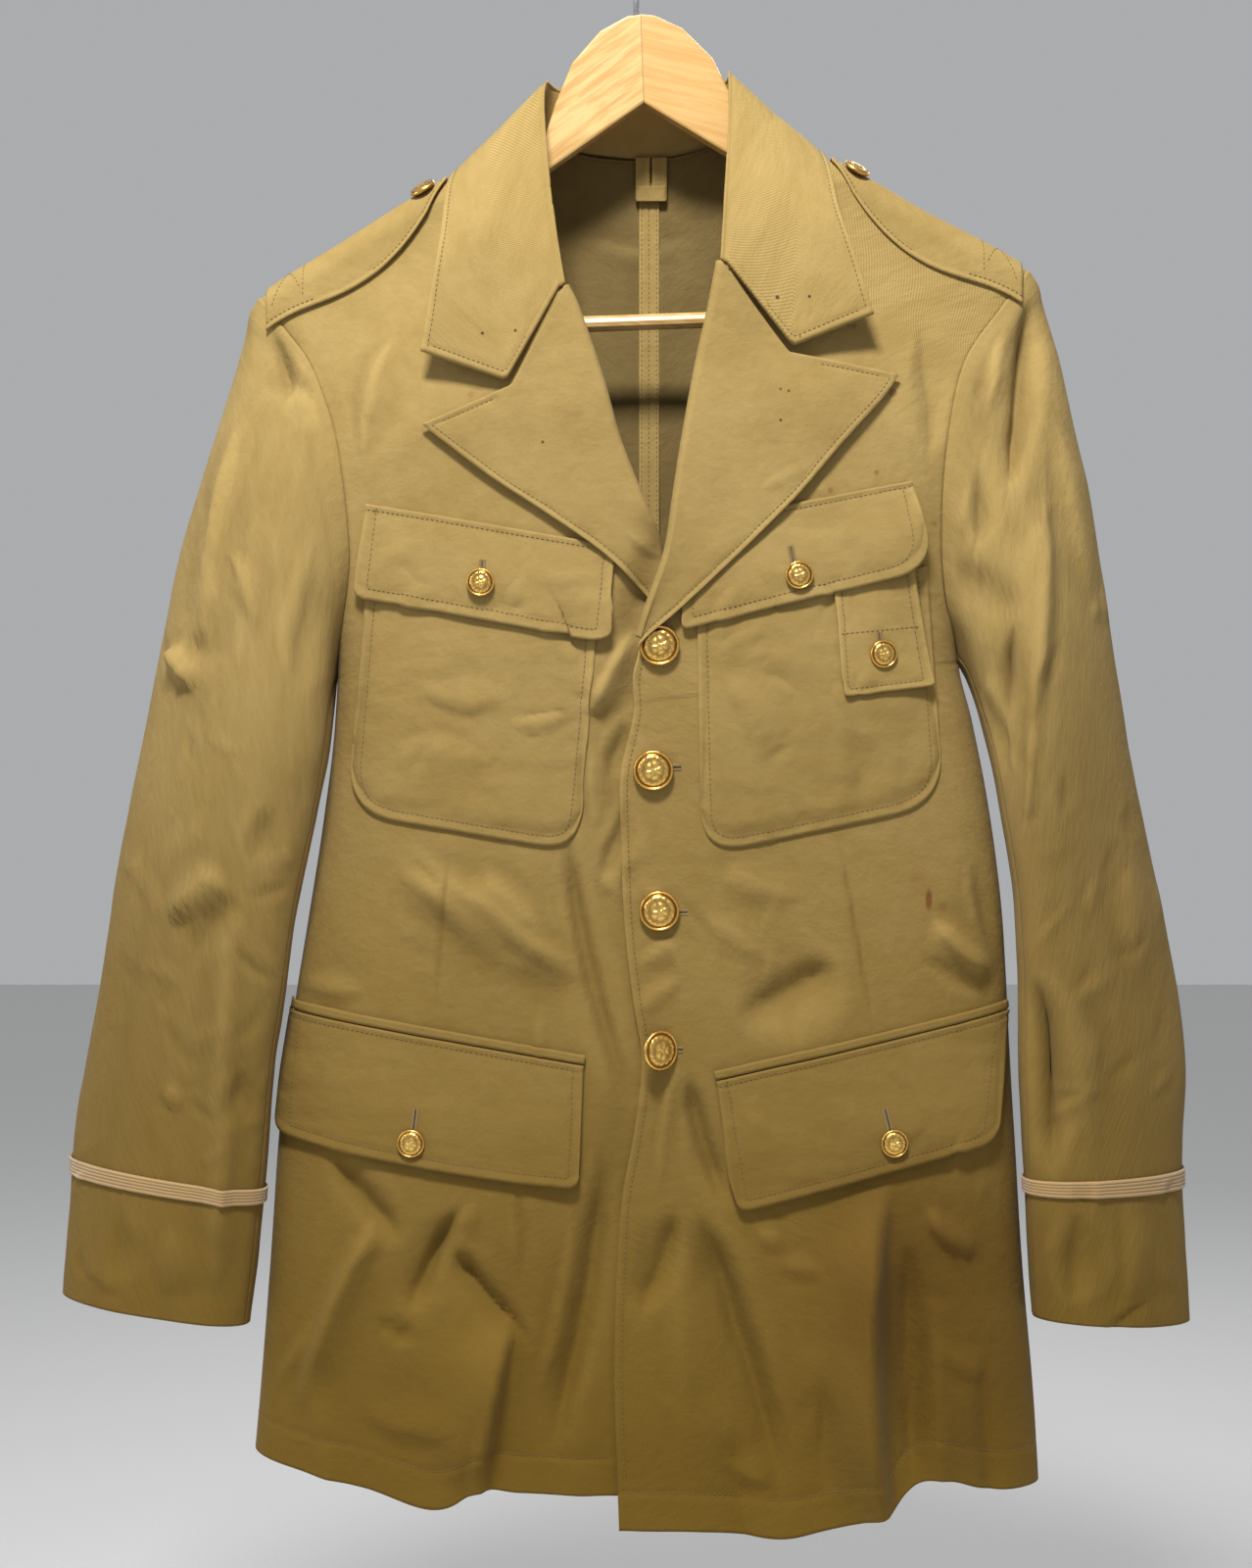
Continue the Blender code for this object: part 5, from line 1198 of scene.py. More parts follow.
def sleeve_surface(table, armhole, rows, turns):
    """A grid of a sleeve between two turns, its normals, and its folds' and creases' height."""
    turn_grid, row_grid = np.meshgrid(turns, rows)
    base = sleeve_point(table, row_grid, turn_grid, armhole)
    x, z = base[..., 0], base[..., 2]
    below = smoothstep(row_grid)
    front, behind = (np.clip((hand * np.sin(turn_grid) - 0.1) * 2.5, 0, 1) * below
                     for hand in (1, -1))
    creases = SLEEVE_GAIN * fold_height(x, z, SLEEVE_CREASES + SLEEVE_SMALL, True)
    at_back = (fold_height(x + 9, z - 28, SLEEVE_CREASES, True)
               + fold_height(x - 6, z + 40, BACK_SLEEVE, True))
    lie = uneven(turn_grid * SLEEVE_ROUND, z, 200 if x.mean() < 0 else 300)
    relief = (FOLD_GAIN * fold_height(x, z, FRONT_FOLDS) * front + creases * front
              + at_back * behind + lie * below)
    centre = np.stack([(table.at("outer_x", row_grid) + table.at("inner_x", row_grid)) / 2,
                       table.at("middle", row_grid),
                       (table.at("outer_z", row_grid) + table.at("inner_z", row_grid)) / 2], -1)
    return base, facing_normals(base, base - centre), relief


SLEEVE_ROUND = 60.0      # radius that turns a sleeve's angle into a length round it
SLEEVE_GAIN = 1.35       # height of the sleeves' creases over the body's
BACK_SLEEVE = (
    (-300, -560, -270, -590, -236, -600, 5, 5, 1.6),
    (-318, -640, -285, -655, -250, -668, 5, 5, 1.4),
    (292, -560, 262, -588, 234, -596, 5, 5, 1.6), (306, -640, 276, -660, 240, -664, 5, 5, 1.4),
)
SLEEVE_FINE_ROWS = np.concatenate([np.linspace(0, 2, 52), np.linspace(2.06, 10.75, 134),
                                   np.linspace(10.78, 11, 12)])
TOP_COLUMNS = 62
UNDER_COLUMNS = 36


def add_sleeves():
    """Top and under sleeve and the cuff braid on each arm."""
    for side, table, front, back in (("right", SLEEVE_RIGHT, FRONT_RIGHT, BACK_RIGHT),
                                     ("left", SLEEVE_LEFT, FRONT_LEFT, BACK_LEFT)):
        armhole = armhole_loop(front, back)
        outward = (-1 if side == "right" else 1, 0, 0)
        for part, (start, end), columns in (("top", TOP_SLEEVE, TOP_COLUMNS),
                                            ("under", UNDER_SLEEVE, UNDER_COLUMNS)):
            turns = np.radians(np.linspace(start + 0.3, end - 0.3, columns))
            base, normal, relief = sleeve_surface(table, armhole, SLEEVE_FINE_ROWS, turns)
            sewn = smoothstep(edge_distance(base, ["start", "end"]) / 8.0)
            head = 1.4 * bell(edge_distance(base, ["low"]) - 9, 8.0)
            head = head * np.clip(np.cos(turns) * 1.6, 0, 1)
            cuff = edge_distance(base, ["high"])
            fall = wave(base[..., 0] + base[..., 1], cuff * 0, 26.0, 81) * bell(cuff, 40.0)
            relief = relief * (0.35 + 0.65 * sewn) + head + fall
            grid = base + normal * relief[..., None]
            tucked = tuck(grid, ("start", "end"), np.mean(normal, axis=(0, 1)), *SLEEVE_TUCK)
            tucked = tuck(tucked, ("low",), outward, *HEAD_TUCK)
            sides = ("start", "end", "low")
            add_piece(f"sleeve_{side}_{part}", tucked, WALL, "coat", tone=padded(relief, sides),
                      worn=("high",), weave=padded(np.stack(runs(grid), axis=-1), sides))
        add_braid(side, table, armhole)


BRAID_RIBS = 5
BRAID_LINES = 26


def add_braid(side, table, armhole):
    """The flat ribbed braid round the cuff."""
    turns = np.linspace(0, 2 * pi, 181)[:-1]
    wrapped = np.concatenate([[turns[-1] - 2 * pi], turns, [turns[0] + 2 * pi]])
    rows = np.linspace(*BRAID_ROWS, BRAID_LINES)
    base, normal, relief = sleeve_surface(table, armhole, rows, wrapped)
    share = np.linspace(0, 1, BRAID_LINES)[:, None]
    ribs = 0.32 * np.abs(np.sin(share * pi * BRAID_RIBS)) - 0.3 * (np.abs(share - 0.5) > 0.485)
    grid = base + normal * (relief + BRAID_LIFT + ribs)[..., None]
    add_piece(f"cuff_braid_{side}", grid[:, 1:-1], THIN_WALL, "braid", held="stretched",
              rests_on=[f"sleeve_{side}_top", f"sleeve_{side}_under"], tone=ribs * 2.0, closed=True)


COLLAR_ROWS = np.concatenate([np.linspace(0, 1, 12), np.linspace(1.1, 2, 8),
                              np.linspace(2.03, 3, 36)])
COLLAR_PLACES = np.linspace(0, 10, 200)
COLLAR_WAVES = ((0.8, 55.0, 91), (0.35, 20.0, 92), (0.1, 8.0, 93))
FALL_ROW = 20            # the first row of the collar's fall
COLLAR_STITCH = 3.6      # from the edges of collar and lapels in to their stitches
COLLAR_SETTLE = 0.7      # how far the collar's sewn ends lie closer to the lapels
NECK_MIDDLE = np.array([5.0, 0.0, -260.0])


def add_collar():
    """The turned-down collar, one piece round the neck."""
    base = collar_grid(COLLAR_PLACES, COLLAR_ROWS)
    fall = smoothstep((COLLAR_ROWS - 1.6) / 0.8)[:, None]
    away = edge_distance(base, ["high", "start", "end"])
    across, up = runs(base)
    own = sum(height * wave(across, up, size, seed) for height, size, seed in COLLAR_WAVES)
    own = own * smoothstep(away / 14.0) + edge_profile(away, COLLAR_STITCH)
    own = own + pucker(base, away, COLLAR_STITCH, 94) * 0.7
    own = own * fall + 0.2 * wave(across, up, 14.0, 95) * (1 - fall)
    normal = facing_normals(base, base - NECK_MIDDLE, -8)
    low = smoothstep((COLLAR_ROWS - 1.9) / 0.3)[:, None]
    settle = COLLAR_SETTLE * bell(edge_distance(base, ["start", "end"]), 6.0) * low
    grid = base + normal * (own - settle)[..., None]
    sides = ("start", "end")
    weave = padded(np.stack([across * 0.7, up], axis=-1), sides)
    add_piece("collar", tuck(grid, sides, normal[-8].mean(axis=0), *COLLAR_TUCK), TRIM_WALL,
              "coat", tone=padded(own, sides), worn=("high",), weave=weave)
    GRIDS["collar"] = grid


LAPEL_ROWS = np.concatenate([np.linspace(0, 1, 4), np.linspace(1.2, 2, 5),
                             np.linspace(2.06, 5, 46)])
LAPEL_PLACES = np.linspace(0, 7, 110)
GORGE_RISE = 0.5         # how far the lapel's sewn edge rises to the collar
NOTCH_ROW = 3.9          # the lapel's upper edge is sewn to the collar up to this row


def add_lapels():
    """The facings, turned over the roll lines on to the chest."""
    for side, table, notch in (("right", LAPEL_RIGHT, LAPEL_NOTCHES[0]),
                               ("left", LAPEL_LEFT, LAPEL_NOTCHES[1])):
        base = lapel_grid(table, notch, LAPEL_PLACES, LAPEL_ROWS, side == "right")
        x, z = base[..., 0], base[..., 2]
        outer = smoothstep((LAPEL_ROWS - 2.0) / 0.8)[:, None]
        away = edge_distance(base, ["high"])
        top = edge_distance(base, ["start"])
        beyond_notch = LAPEL_ROWS[:, None] > NOTCH_ROW
        free = np.where(beyond_notch, np.minimum(away, top), away)
        own = 0.7 * wave(x, z, 45.0, 101) + 0.3 * wave(x, z, 17.0, 102)
        own = own * smoothstep(free / 14.0) + edge_profile(free, COLLAR_STITCH)
        own = (own + pucker(base, free, COLLAR_STITCH, 103) * 0.7) * outer
        grid = base.copy()
        grid[..., 1] -= own + GORGE_RISE * bell(top, 5.0) * ~beyond_notch * outer
        name = f"facing_{side}"
        add_piece(name, grid, TRIM_WALL, "coat", held="folded", rests_on=[f"front_{side}"],
                  tone=own, worn=("high",), weave=base[..., ::2])
        GRIDS[name] = grid


def loop_across(place, share):
    """Distance from the shoulder ridge at shares of a shoulder loop's half widths."""
    return np.where(share < 0, share * EPAULETTE.at("front", place),
                    share * EPAULETTE.at("back", place))


def add_epaulettes():
    """The shoulder loops, bent over the shoulder ridge."""
    for side, (start, end) in EPAULETTE_ENDS.items():
        place, share = np.meshgrid(EPAULETTE_PLACES, EPAULETTE_SHARES)
        across = loop_across(place, share)
        x = start + (end - start) * place
        base = ridge_point(x, across)
        away = edge_distance(base, ["low", "high", "end"])
        own = 0.35 * wave(x, across, 24.0, 111) * smoothstep(away / 9.0)
        own = own + edge_profile(away, EPAULETTE_STITCH) + pucker(base, away, EPAULETTE_STITCH, 112)
        normal = facing_normals(base, (0, 0, 1))
        grid = base + normal * (own + EPAULETTE_LIFT)[..., None]
        name = f"epaulette_{side}"
        add_piece(name, grid, TRIM_WALL, "coat", held="laid",
                  rests_on=[f"front_{side}", f"back_{side}"], tone=own,
                  worn=("low", "high", "end"))
        GRIDS[name] = grid


EPAULETTE_STITCH = 4.0
EPAULETTE_PLACES = np.linspace(0, 1, 76)
EPAULETTE_SHARES = np.linspace(-1, 1, 44)


def strip(left, right, top, bottom, rows, columns, layer):
    """A tape on the inside of the back."""
    x, z = np.meshgrid(np.linspace(left, right, columns), np.linspace(top, bottom, rows))
    base = back_base(x, z)
    base[..., 1] += fold_height(x, z, BACK_FOLDS) * edge_fade(base) - layer
    return base


# The locker loop's two ends and its band: left, right, top, bottom and layer
LOOP_PARTS = ((-0.4, 8.2, -146, -171, PLY + 1.9), (9.4, 18.4, -146, -171, PLY + 1.9),
              (0.2, 17.8, -162.5, -171.5, PLY + 3.0))
LOOP_WALL = 1.1
TAPE = (1.8, 13.8, -160, -905)       # left, right, top, bottom
TAPE_COLUMNS = 9


def add_neck_inside():
    """The centre seam's tape and the locker loop under the collar stand."""
    grid = strip(*TAPE, 300, TAPE_COLUMNS, PLY - 0.25)
    rib = 0.25 * np.cos(np.linspace(0, 6 * pi, TAPE_COLUMNS))
    grid[..., 1] -= rib + 0.2 * wave(grid[..., 0], grid[..., 2], 12.0, 121)
    add_piece("back_seam_tape", grid, THIN_WALL, "tape", rests_on=["back_right", "back_left"],
              tone=rib, worn=("start", "end"))
    GRIDS["back_seam_tape"] = grid
    parts = [add_cloth("neck_loop_part", strip(*place, 14, 8, layer), LOOP_WALL, "tape",
                       worn=("start", "end")) for *place, layer in LOOP_PARTS]
    declare(joined(parts, "neck_loop_cloth"), "neck_loop")


def joined(parts, name):
    """One object from several, with their walls applied."""
    graph = bpy.context.evaluated_depsgraph_get()
    shape = bmesh.new()
    for part in parts:
        mesh = bpy.data.meshes.new_from_object(part.evaluated_get(graph))
        shape.from_mesh(mesh)
    look = parts[0].data.materials[0]
    for part in parts:
        bpy.data.objects.remove(part, do_unlink=True)
    mesh = bpy.data.meshes.new(name)
    shape.to_mesh(mesh)
    shape.free()
    mesh.materials.clear()
    return add_object(name, mesh, look)


def turned_frame(point, normal, yaw):
    """Place of a button: its back on a point, its axis along a normal, turned to the side."""
    axis = Vector(normal)
    turn = axis.to_track_quat("Z", "Y").to_matrix().to_4x4()
    lean = Matrix.Rotation(radians(yaw), 4, "Z")
    return Matrix.Translation(Vector(point) * MM) @ lean @ turn


BUTTON_RINGS = 26
BUTTON_TURNS = 70
BUTTON_BACK = ((0.995, 0.12), (0.95, 0.06), (0.5, 0.02), (0.05, 0.0))    # radius and height


def button_height(share, angle):
    """Height of a button's face as a share of its radius: a dome, a rim and leaves."""
    dome = 0.40 - 0.17 * share ** 2.2
    rim = 0.055 * bell(share - 0.93, 0.05)
    channel = -0.05 * bell(share - 0.82, 0.05)
    leaf = np.abs(np.sin(angle * 7 + share * 9)) ** 0.7
    wreath = 0.05 * leaf * bell(share - 0.66, 0.09)
    petal = np.abs(np.cos(angle * 2.5)) ** 0.6
    star = 0.06 * petal * bell(share - 0.26, 0.15)
    boss = 0.05 * bell(share, 0.09)
    return dome + rim + channel + wreath + star + boss, wreath + star + boss + rim + channel


def button_mesh(name, diameter):
    """A domed button with a generic raised wreath and rosette."""
    radius = diameter / 2 * MM
    share = np.linspace(0.03, 1.0, BUTTON_RINGS)
    angle = np.linspace(0, 2 * pi, BUTTON_TURNS, endpoint=False)
    share_grid, angle_grid = np.meshgrid(share, angle, indexing="ij")
    height, raised = button_height(share_grid, angle_grid)
    edge = smoothstep((share_grid - 0.95) / 0.05)
    height = height * (1 - edge) + 0.19 * edge
    rings = list(np.stack([share_grid * np.cos(angle), share_grid * np.sin(angle), height], -1))
    for wide, high in BUTTON_BACK:
        around = [wide * np.cos(angle), wide * np.sin(angle), np.full(len(angle), high)]
        rings.append(np.stack(around, axis=-1))
        raised = np.vstack([raised, np.zeros(len(angle))])
    points = np.concatenate(rings) * radius
    faces = grid_faces(len(rings), BUTTON_TURNS, True).tolist()
    faces.append(list(range(BUTTON_TURNS))[::-1])
    faces.append(list(range(len(points) - BUTTON_TURNS, len(points))))
    mesh = bpy.data.meshes.new(name)
    mesh.from_pydata(points.tolist(), [], faces)
    set_values(mesh, "tone", "FLOAT", np.clip(raised.ravel() / 0.05, -1, 1))
    mesh.shade_smooth()
    return mesh


def add_buttons():
    """Front, pocket, tab and shoulder buttons."""
    for number, (x, z, layer, yaw) in enumerate(FRONT_BUTTONS, 1):
        point, normal = front_point(x, z, layer + ABOVE_CLOTH, False)
        place_button(f"front_button_{number}", point, normal, FRONT_BUTTON, yaw)
    for name, (x, z, layer) in POCKET_BUTTONS.items():
        place_button(name, *front_point(x, z, layer + ABOVE_CLOTH, x < 0), SMALL_BUTTON)
    for name, x in EPAULETTE_BUTTONS.items():
        point, beside, along = (ridge_point(np.array(at_x), np.array(at))
                                for at_x, at in ((x, -EPAULETTE_BUTTON_FORWARD),
                                                 (x, 1.0 - EPAULETTE_BUTTON_FORWARD),
                                                 (x + 1.0, -EPAULETTE_BUTTON_FORWARD)))
        normal = unit(np.cross(along - point, beside - point))
        normal = normal if normal[2] > 0 else -normal
        place_button(name, point + normal * (SOLID_LOOP_LIFT + 1.0), normal, SMALL_BUTTON)


ABOVE_CLOTH = 1.15 / PLY     # layers from the cloth's middle to a button's back
SOLID_LOOP_LIFT = 3.15   # from the ridge to the shoulder loop's upper side
FRONT_BUTTON = 22.9      # diameter, 36 ligne
SMALL_BUTTON = 15.9      # diameter, 25 ligne
BUTTON_FOOT = 0.86       # share of a tipped button's radius that lifts it off the cloth


def place_button(name, point, normal, diameter, yaw=0.0):
    """Make a button, its shank side on the cloth, and let it stand for its node."""
    mesh = button_mesh(name + "_gilt", diameter)
    clear = BUTTON_FOOT * diameter / 2 * sin(radians(abs(yaw)))
    mesh.transform(turned_frame(np.asarray(point) + np.asarray(normal) * clear, normal, yaw))
    dress(add_object(name + "_gilt", mesh, LOOKS["gilt"]), name)


THREAD = 0.5             # diameter of the stitching
STITCH = 2.1             # length of a stitch
STITCH_PITCH = 2.9       # from one stitch's start to the next one's
SPINDLE = ((0.18, 0.15), (0.5, 0.5), (0.82, 0.15))   # a stitch's rings: share of it, and height
SPINDLE_SIDES = 5


def thread_mesh(name, stitches):
    """Small spindles, each from one point to another over a surface normal."""
    vertices = []
    faces = []
    for start, end, normal, radius in stitches:
        along = end - start
        side = unit(np.cross(along, normal))
        first = len(vertices)
        vertices.append(start - normal * radius * 0.8)
        for share, high in SPINDLE:
            middle = start + along * share + normal * radius * high
            for a in range(SPINDLE_SIDES):
                angle = 2 * pi * a / SPINDLE_SIDES + 0.3
                vertices.append(middle + side * cos(angle) * radius + normal * sin(angle) * radius)
        vertices.append(end - normal * radius * 0.8)
        last = len(vertices) - 1
        for a in range(SPINDLE_SIDES):
            b = (a + 1) % SPINDLE_SIDES
            faces.append((first, first + 1 + b, first + 1 + a))
            for low in (first + 1, first + 1 + SPINDLE_SIDES):
                high = low + SPINDLE_SIDES
                faces.append((low + a, low + b, high + b, high + a))
            faces.append((last, last - SPINDLE_SIDES + a, last - SPINDLE_SIDES + b))
    mesh = bpy.data.meshes.new(name)
    mesh.from_pydata((np.array(vertices) * MM).tolist(), [], faces)
    mesh.shade_smooth()
    return mesh


def stitch_row(points, normals, wall=TRIM_WALL, pitch=STITCH_PITCH, length=STITCH,
               radius=THREAD / 2):
    """Stitches along a path on a surface."""
    run = lengths(points)
    starts = np.arange(0, run[-1] - length, pitch)
    first, last = (at_lengths(starts + more, run, points) for more in (0, length))
    normal = unit(at_lengths(starts + length / 2, run, normals))
    raised = normal * (wall / 2 + radius * 0.35)
    return [(a + r, b + r, n, radius) for a, b, r, n in zip(first, last, raised, normal)]


def grid_tree(grid):
    """A search tree over a grid, for laying lines on it."""
    return BVHTree.FromPolygons(grid.reshape(-1, 3).tolist(), grid_faces(*grid.shape[:2]).tolist())


AHEAD = Vector((0.0, 1.0, 0.0))      # from the viewer into the picture
RAY_START = -300.0       # y well before the coat
LAID_STEP = 1.5          # between the points of a line that is laid on a surface


def laid(path, tree):
    """Lay a path of the front view on a surface, from the front."""
    points, normals = [], []
    for x, z in resample(path, max(int(lengths(path)[-1] / LAID_STEP), 4)):
        hit, normal, _, _ = tree.ray_cast(Vector((x, RAY_START, z)), AHEAD)
        if hit is not None:
            points.append(hit)
            normals.append(normal if normal.y < 0 else -normal)
    return np.array(points), np.array(normals)


def inset_plan(size, inset):
    """A line inside a flat piece's sides and lower edge, in the front view."""
    plan, _ = flat_plan(size, 90, 40)
    outline = np.concatenate([plan[:, 0], plan[-1, 1:-1], plan[::-1, -1]])
    outline = resample(outline, 260)
    middle = plan.reshape(-1, 2).mean(axis=0)
    run = tangent(outline)
    inward = np.stack([-run[:, 1], run[:, 0]], axis=-1)
    if np.mean(np.sum(inward * (middle - outline), axis=1)) < 0:
        inward = -inward
    moved = outline + inward * inset
    gaps = np.linalg.norm(moved[:, None] - outline[None], axis=2).min(axis=1)
    return moved[gaps > inset - 0.3]


def inset_runs(grid, sides, inset):
    """A line inside each of the named sides of a grid, in the grid's own order."""
    across, up = runs(grid)
    lines = []
    for side in sides:
        upright = side in ("high", "low")
        run, points = (up.T, grid.transpose(1, 0, 2)) if upright else (across, grid)
        far = side in ("high", "end")
        lines.append(np.array([at_lengths(r[-1] - inset if far else inset, r, p)
                               for r, p in zip(run, points)]))
    return lines


def near_stitches(lines, tree, outward, wall=TRIM_WALL):
    """Stitches along lines that are moved to a surface, on its outward side."""
    rows = []
    for line in lines:
        found = [tree.find_nearest(Vector(point))[:2] for point in line]
        points, normals = (np.array(values) for values in zip(*found))
        away = points - NECK_MIDDLE if outward is None else np.array(outward, dtype=float)
        flip = np.where(np.sum(normals * away, axis=1) < 0, -1, 1)
        rows += stitch_row(points, normals * flip[:, None], wall)
    return rows


def add_thread(name, rows, look="thread"):
    """One object of stitches."""
    made = add_object(name, thread_mesh(name, rows), LOOKS[look])
    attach(made, "root")


def add_stitching():
    """All top-stitching, one object for each piece that it holds."""
    trees = {name: grid_tree(grid) for name, grid in GRIDS.items()}
    rows = {name: [] for name in GRIDS}

    def sew(name, path, wall=TRIM_WALL):
        rows[name] += stitch_row(*laid(path, trees[name]), wall)

    for name, size in FLAT_PIECES.items():
        kind = next(k for k in ("tab", "welt", "flap", "pocket") if k in name)
        if kind != "welt":
            sew(name, inset_plan(size, FLAT_INSET[kind]))
        if kind == "flap":
            sew(name, np.array(size["top"], dtype=float) - np.array([0, FLAP_TOP_STITCH]))
    sew("pocket_tab", TAB_STITCH)
    for name, low, high in (("front_right", -221, -12), ("front_left", -6, 230)):
        x = np.linspace(low, high, 60)
        sew(name, np.stack([x, HEMS[name].at("z", x) + HEM_TURN + 0.6], axis=-1), WALL)
    z = np.linspace(-446, -915, 80)
    sew("front_left", np.stack([FRONT_EDGE.at("x", z) + EDGE_STITCH, z], axis=-1), WALL)
    for x in (3.4, 7.8, 12.2):
        sew("back_seam_tape", ((x, -172.0), (x, -430.0)), THIN_WALL)
    for name in ("back_right", "back_left"):
        hem = inset_runs(GRIDS[name], ["low"], HEM_TURN)[0][4:-4]
        rows[name] = near_stitches([hem], trees[name], (0, 1, 0), WALL)
    start, end, high = inset_runs(GRIDS["collar"][FALL_ROW:], ["start", "end", "high"],
                                  COLLAR_STITCH)
    keep = int(len(COLLAR_ROWS) * 0.2)
    rows["collar"] = near_stitches((start[keep:-2], end[keep:-2], high[2:-2]), trees["collar"],
                                   None)
    for side in ("right", "left"):
        name = f"facing_{side}"
        start, high = inset_runs(GRIDS[name], ["start", "high"], COLLAR_STITCH)
        free = start[LAPEL_ROWS > NOTCH_ROW]
        rows[name] = near_stitches((free[:-3], high[3:-3]), trees[name], (0, -1, 0))
        name = f"epaulette_{side}"
        rows[name] = near_stitches(loop_lines(side), trees[name], (0, 0, 1))
    for name, stitches in rows.items():
        if stitches:
            add_thread(name + "_stitching", stitches)


TAB_STITCH = ((113.5, -436.2), (160.0, -431.2))
# The crossed box at the shoulder loops' sleeve end: place and share of the half width, from, to
LOOP_BOX = (((0.03, -0.7), (0.19, 0.5)), ((0.03, 0.5), (0.19, -0.7)), ((0.2, -0.8), (0.2, 0.7)))


def loop_lines(side):
    """Lines inside a shoulder loop's edges and over the crossed box at its sleeve end."""
    start, end = EPAULETTE_ENDS[side]
    low, high, tip = inset_runs(GRIDS[f"epaulette_{side}"], ["low", "high", "end"],
                                EPAULETTE_STITCH)
    lines = [low[:-4], high[:-4], tip[4:-4]]
    for first, last in LOOP_BOX:
        place, share = np.linspace(first, last, 30).T
        line = ridge_point(start + (end - start) * place, loop_across(place, share))
        lines.append(line + np.array([0, -1.5, 2.0]))
    return lines


# Worked buttonholes: the piece, and both ends in the front view
BUTTONHOLES = (
    ("front_left", (7.0, -511.8), (25.5, -511.2)), ("front_left", (10.0, -592.8), (29.0, -593.6)),
    ("front_left", (8.0, -671.2), (26.5, -671.0)), ("front_left", (11.0, -443.5), (19.5, -441.5)),
    ("breast_flap_right", (-87.0, -394.2), (-88.0, -410.0)),
    ("breast_flap_left", (86.5, -386.5), (89.5, -402.0)),
    ("hip_flap_right", (-125.0, -704.8), (-127.0, -722.0)),
    ("hip_flap_left", (140.5, -704.6), (144.6, -722.0)),
    ("pocket_tab", (136.9, -434.8), (138.2, -446.0)),
)
BAR_PITCH = 0.62
BAR_REACH = (0.25, 2.0)  # from the slit's middle to a bar's two ends
BAR_RADIUS = 0.27
SLIT_STITCH = (1.2, 1.35, 0.22)      # pitch, length and radius


def add_buttonholes():
    """Thread bars along both lips of each buttonhole, and dark stitches between them that paint the
    shade of the open slit.
    """
    bars, slits = [], []
    for name, start, end in BUTTONHOLES:
        wall = WALL if name == "front_left" else TRIM_WALL
        points, normals = laid((start, end), grid_tree(GRIDS[name]))
        slits += stitch_row(points, normals, wall, *SLIT_STITCH)
        run = lengths(points)
        along = unit(points[-1] - points[0])
        places = np.arange(0, run[-1], BAR_PITCH)
        for point, normal in zip(at_lengths(places, run, points), at_lengths(places, run, normals)):
            side = unit(np.cross(normal, along))
            raised = point + normal * (wall / 2 + 0.1)
            for hand in (-1, 1):
                near, far = (raised + side * hand * reach for reach in BAR_REACH)
                bars.append((near, far, normal, BAR_RADIUS))
    add_thread("buttonhole_thread", bars, "hole_thread")
    # The slit's dark stitches are painted shade of the opening.
    add_thread("buttonhole_slits", slits, "dark")


def node(tree, kind, inputs=None, **settings):
    """A shader node with its settings, values and links."""
    made = tree.nodes.new(kind)
    for key, value in settings.items():
        setattr(made, key, value)
    for key, value in (inputs or {}).items():
        if isinstance(value, bpy.types.NodeSocket):
            tree.links.new(value, made.inputs[key])
        else:
            made.inputs[key].default_value = value
    return made


def calc(tree, operation, *values):
    """A math node's result."""
    return node(tree, "ShaderNodeMath", dict(enumerate(values)), operation=operation).outputs[0]


def stored(tree, name, output="Fac"):
    """A value that the mesh holds at each point."""
    return node(tree, "ShaderNodeAttribute", attribute_name=name).outputs[output]


def noise(tree, place, scale, detail, **more):
    """Uneven spots from 0 to 1."""
    inputs = {"Vector": place, "Scale": scale, "Detail": detail, **more}
    return node(tree, "ShaderNodeTexNoise", inputs).outputs[0]


def at_place(tree):
    """The place on the coat."""
    return node(tree, "ShaderNodeTexCoord").outputs["Object"]


def parted(tree, vector):
    """The X, Y and Z of a vector."""
    return node(tree, "ShaderNodeSeparateXYZ", {0: vector}).outputs


def bumped(tree, shader, *layers):
    """Fine relief in one or more layers: each a height, a distance and a strength."""
    inputs = {}
    for height, distance, strength in layers:
        inputs.update({"Height": height, "Distance": distance, "Strength": strength})
        inputs["Normal"] = node(tree, "ShaderNodeBump", dict(inputs)).outputs[0]
    tree.links.new(inputs["Normal"], shader.inputs["Normal"])


def tinted(colour, factor):
    """A colour made paler or deeper."""
    return tuple(min(c * factor, 1) for c in colour)


def mixed(tree, share, low, high, blend="MIX"):
    """Two colours mixed by a share."""
    made = node(tree, "ShaderNodeMix", {0: share}, data_type="RGBA", blend_type=blend)
    for slot, value in ((6, low), (7, high)):
        if isinstance(value, bpy.types.NodeSocket):
            tree.links.new(value, made.inputs[slot])
        else:
            made.inputs[slot].default_value = (*value, 1.0)
    return made.outputs[2]


def ranged(tree, value, low, high, out_low=0.0, out_high=1.0):
    """A value mapped softly from one range to another."""
    made = node(tree, "ShaderNodeMapRange", {0: value, 1: low, 2: high, 3: out_low, 4: out_high},
                interpolation_type="SMOOTHSTEP")
    return made.outputs[0]


def new_look(name, roughness, metallic=0.0, sheen=0.0):
    """A material with its shader's plain values."""
    made = bpy.data.materials.new(name)
    made.use_nodes = True
    tree = made.node_tree
    shader = tree.nodes["Principled BSDF"]
    shader.inputs["Roughness"].default_value = roughness
    shader.inputs["Metallic"].default_value = metallic
    shader.inputs["Sheen Weight"].default_value = sheen
    shader.inputs["Sheen Roughness"].default_value = 0.5
    return made, tree, shader


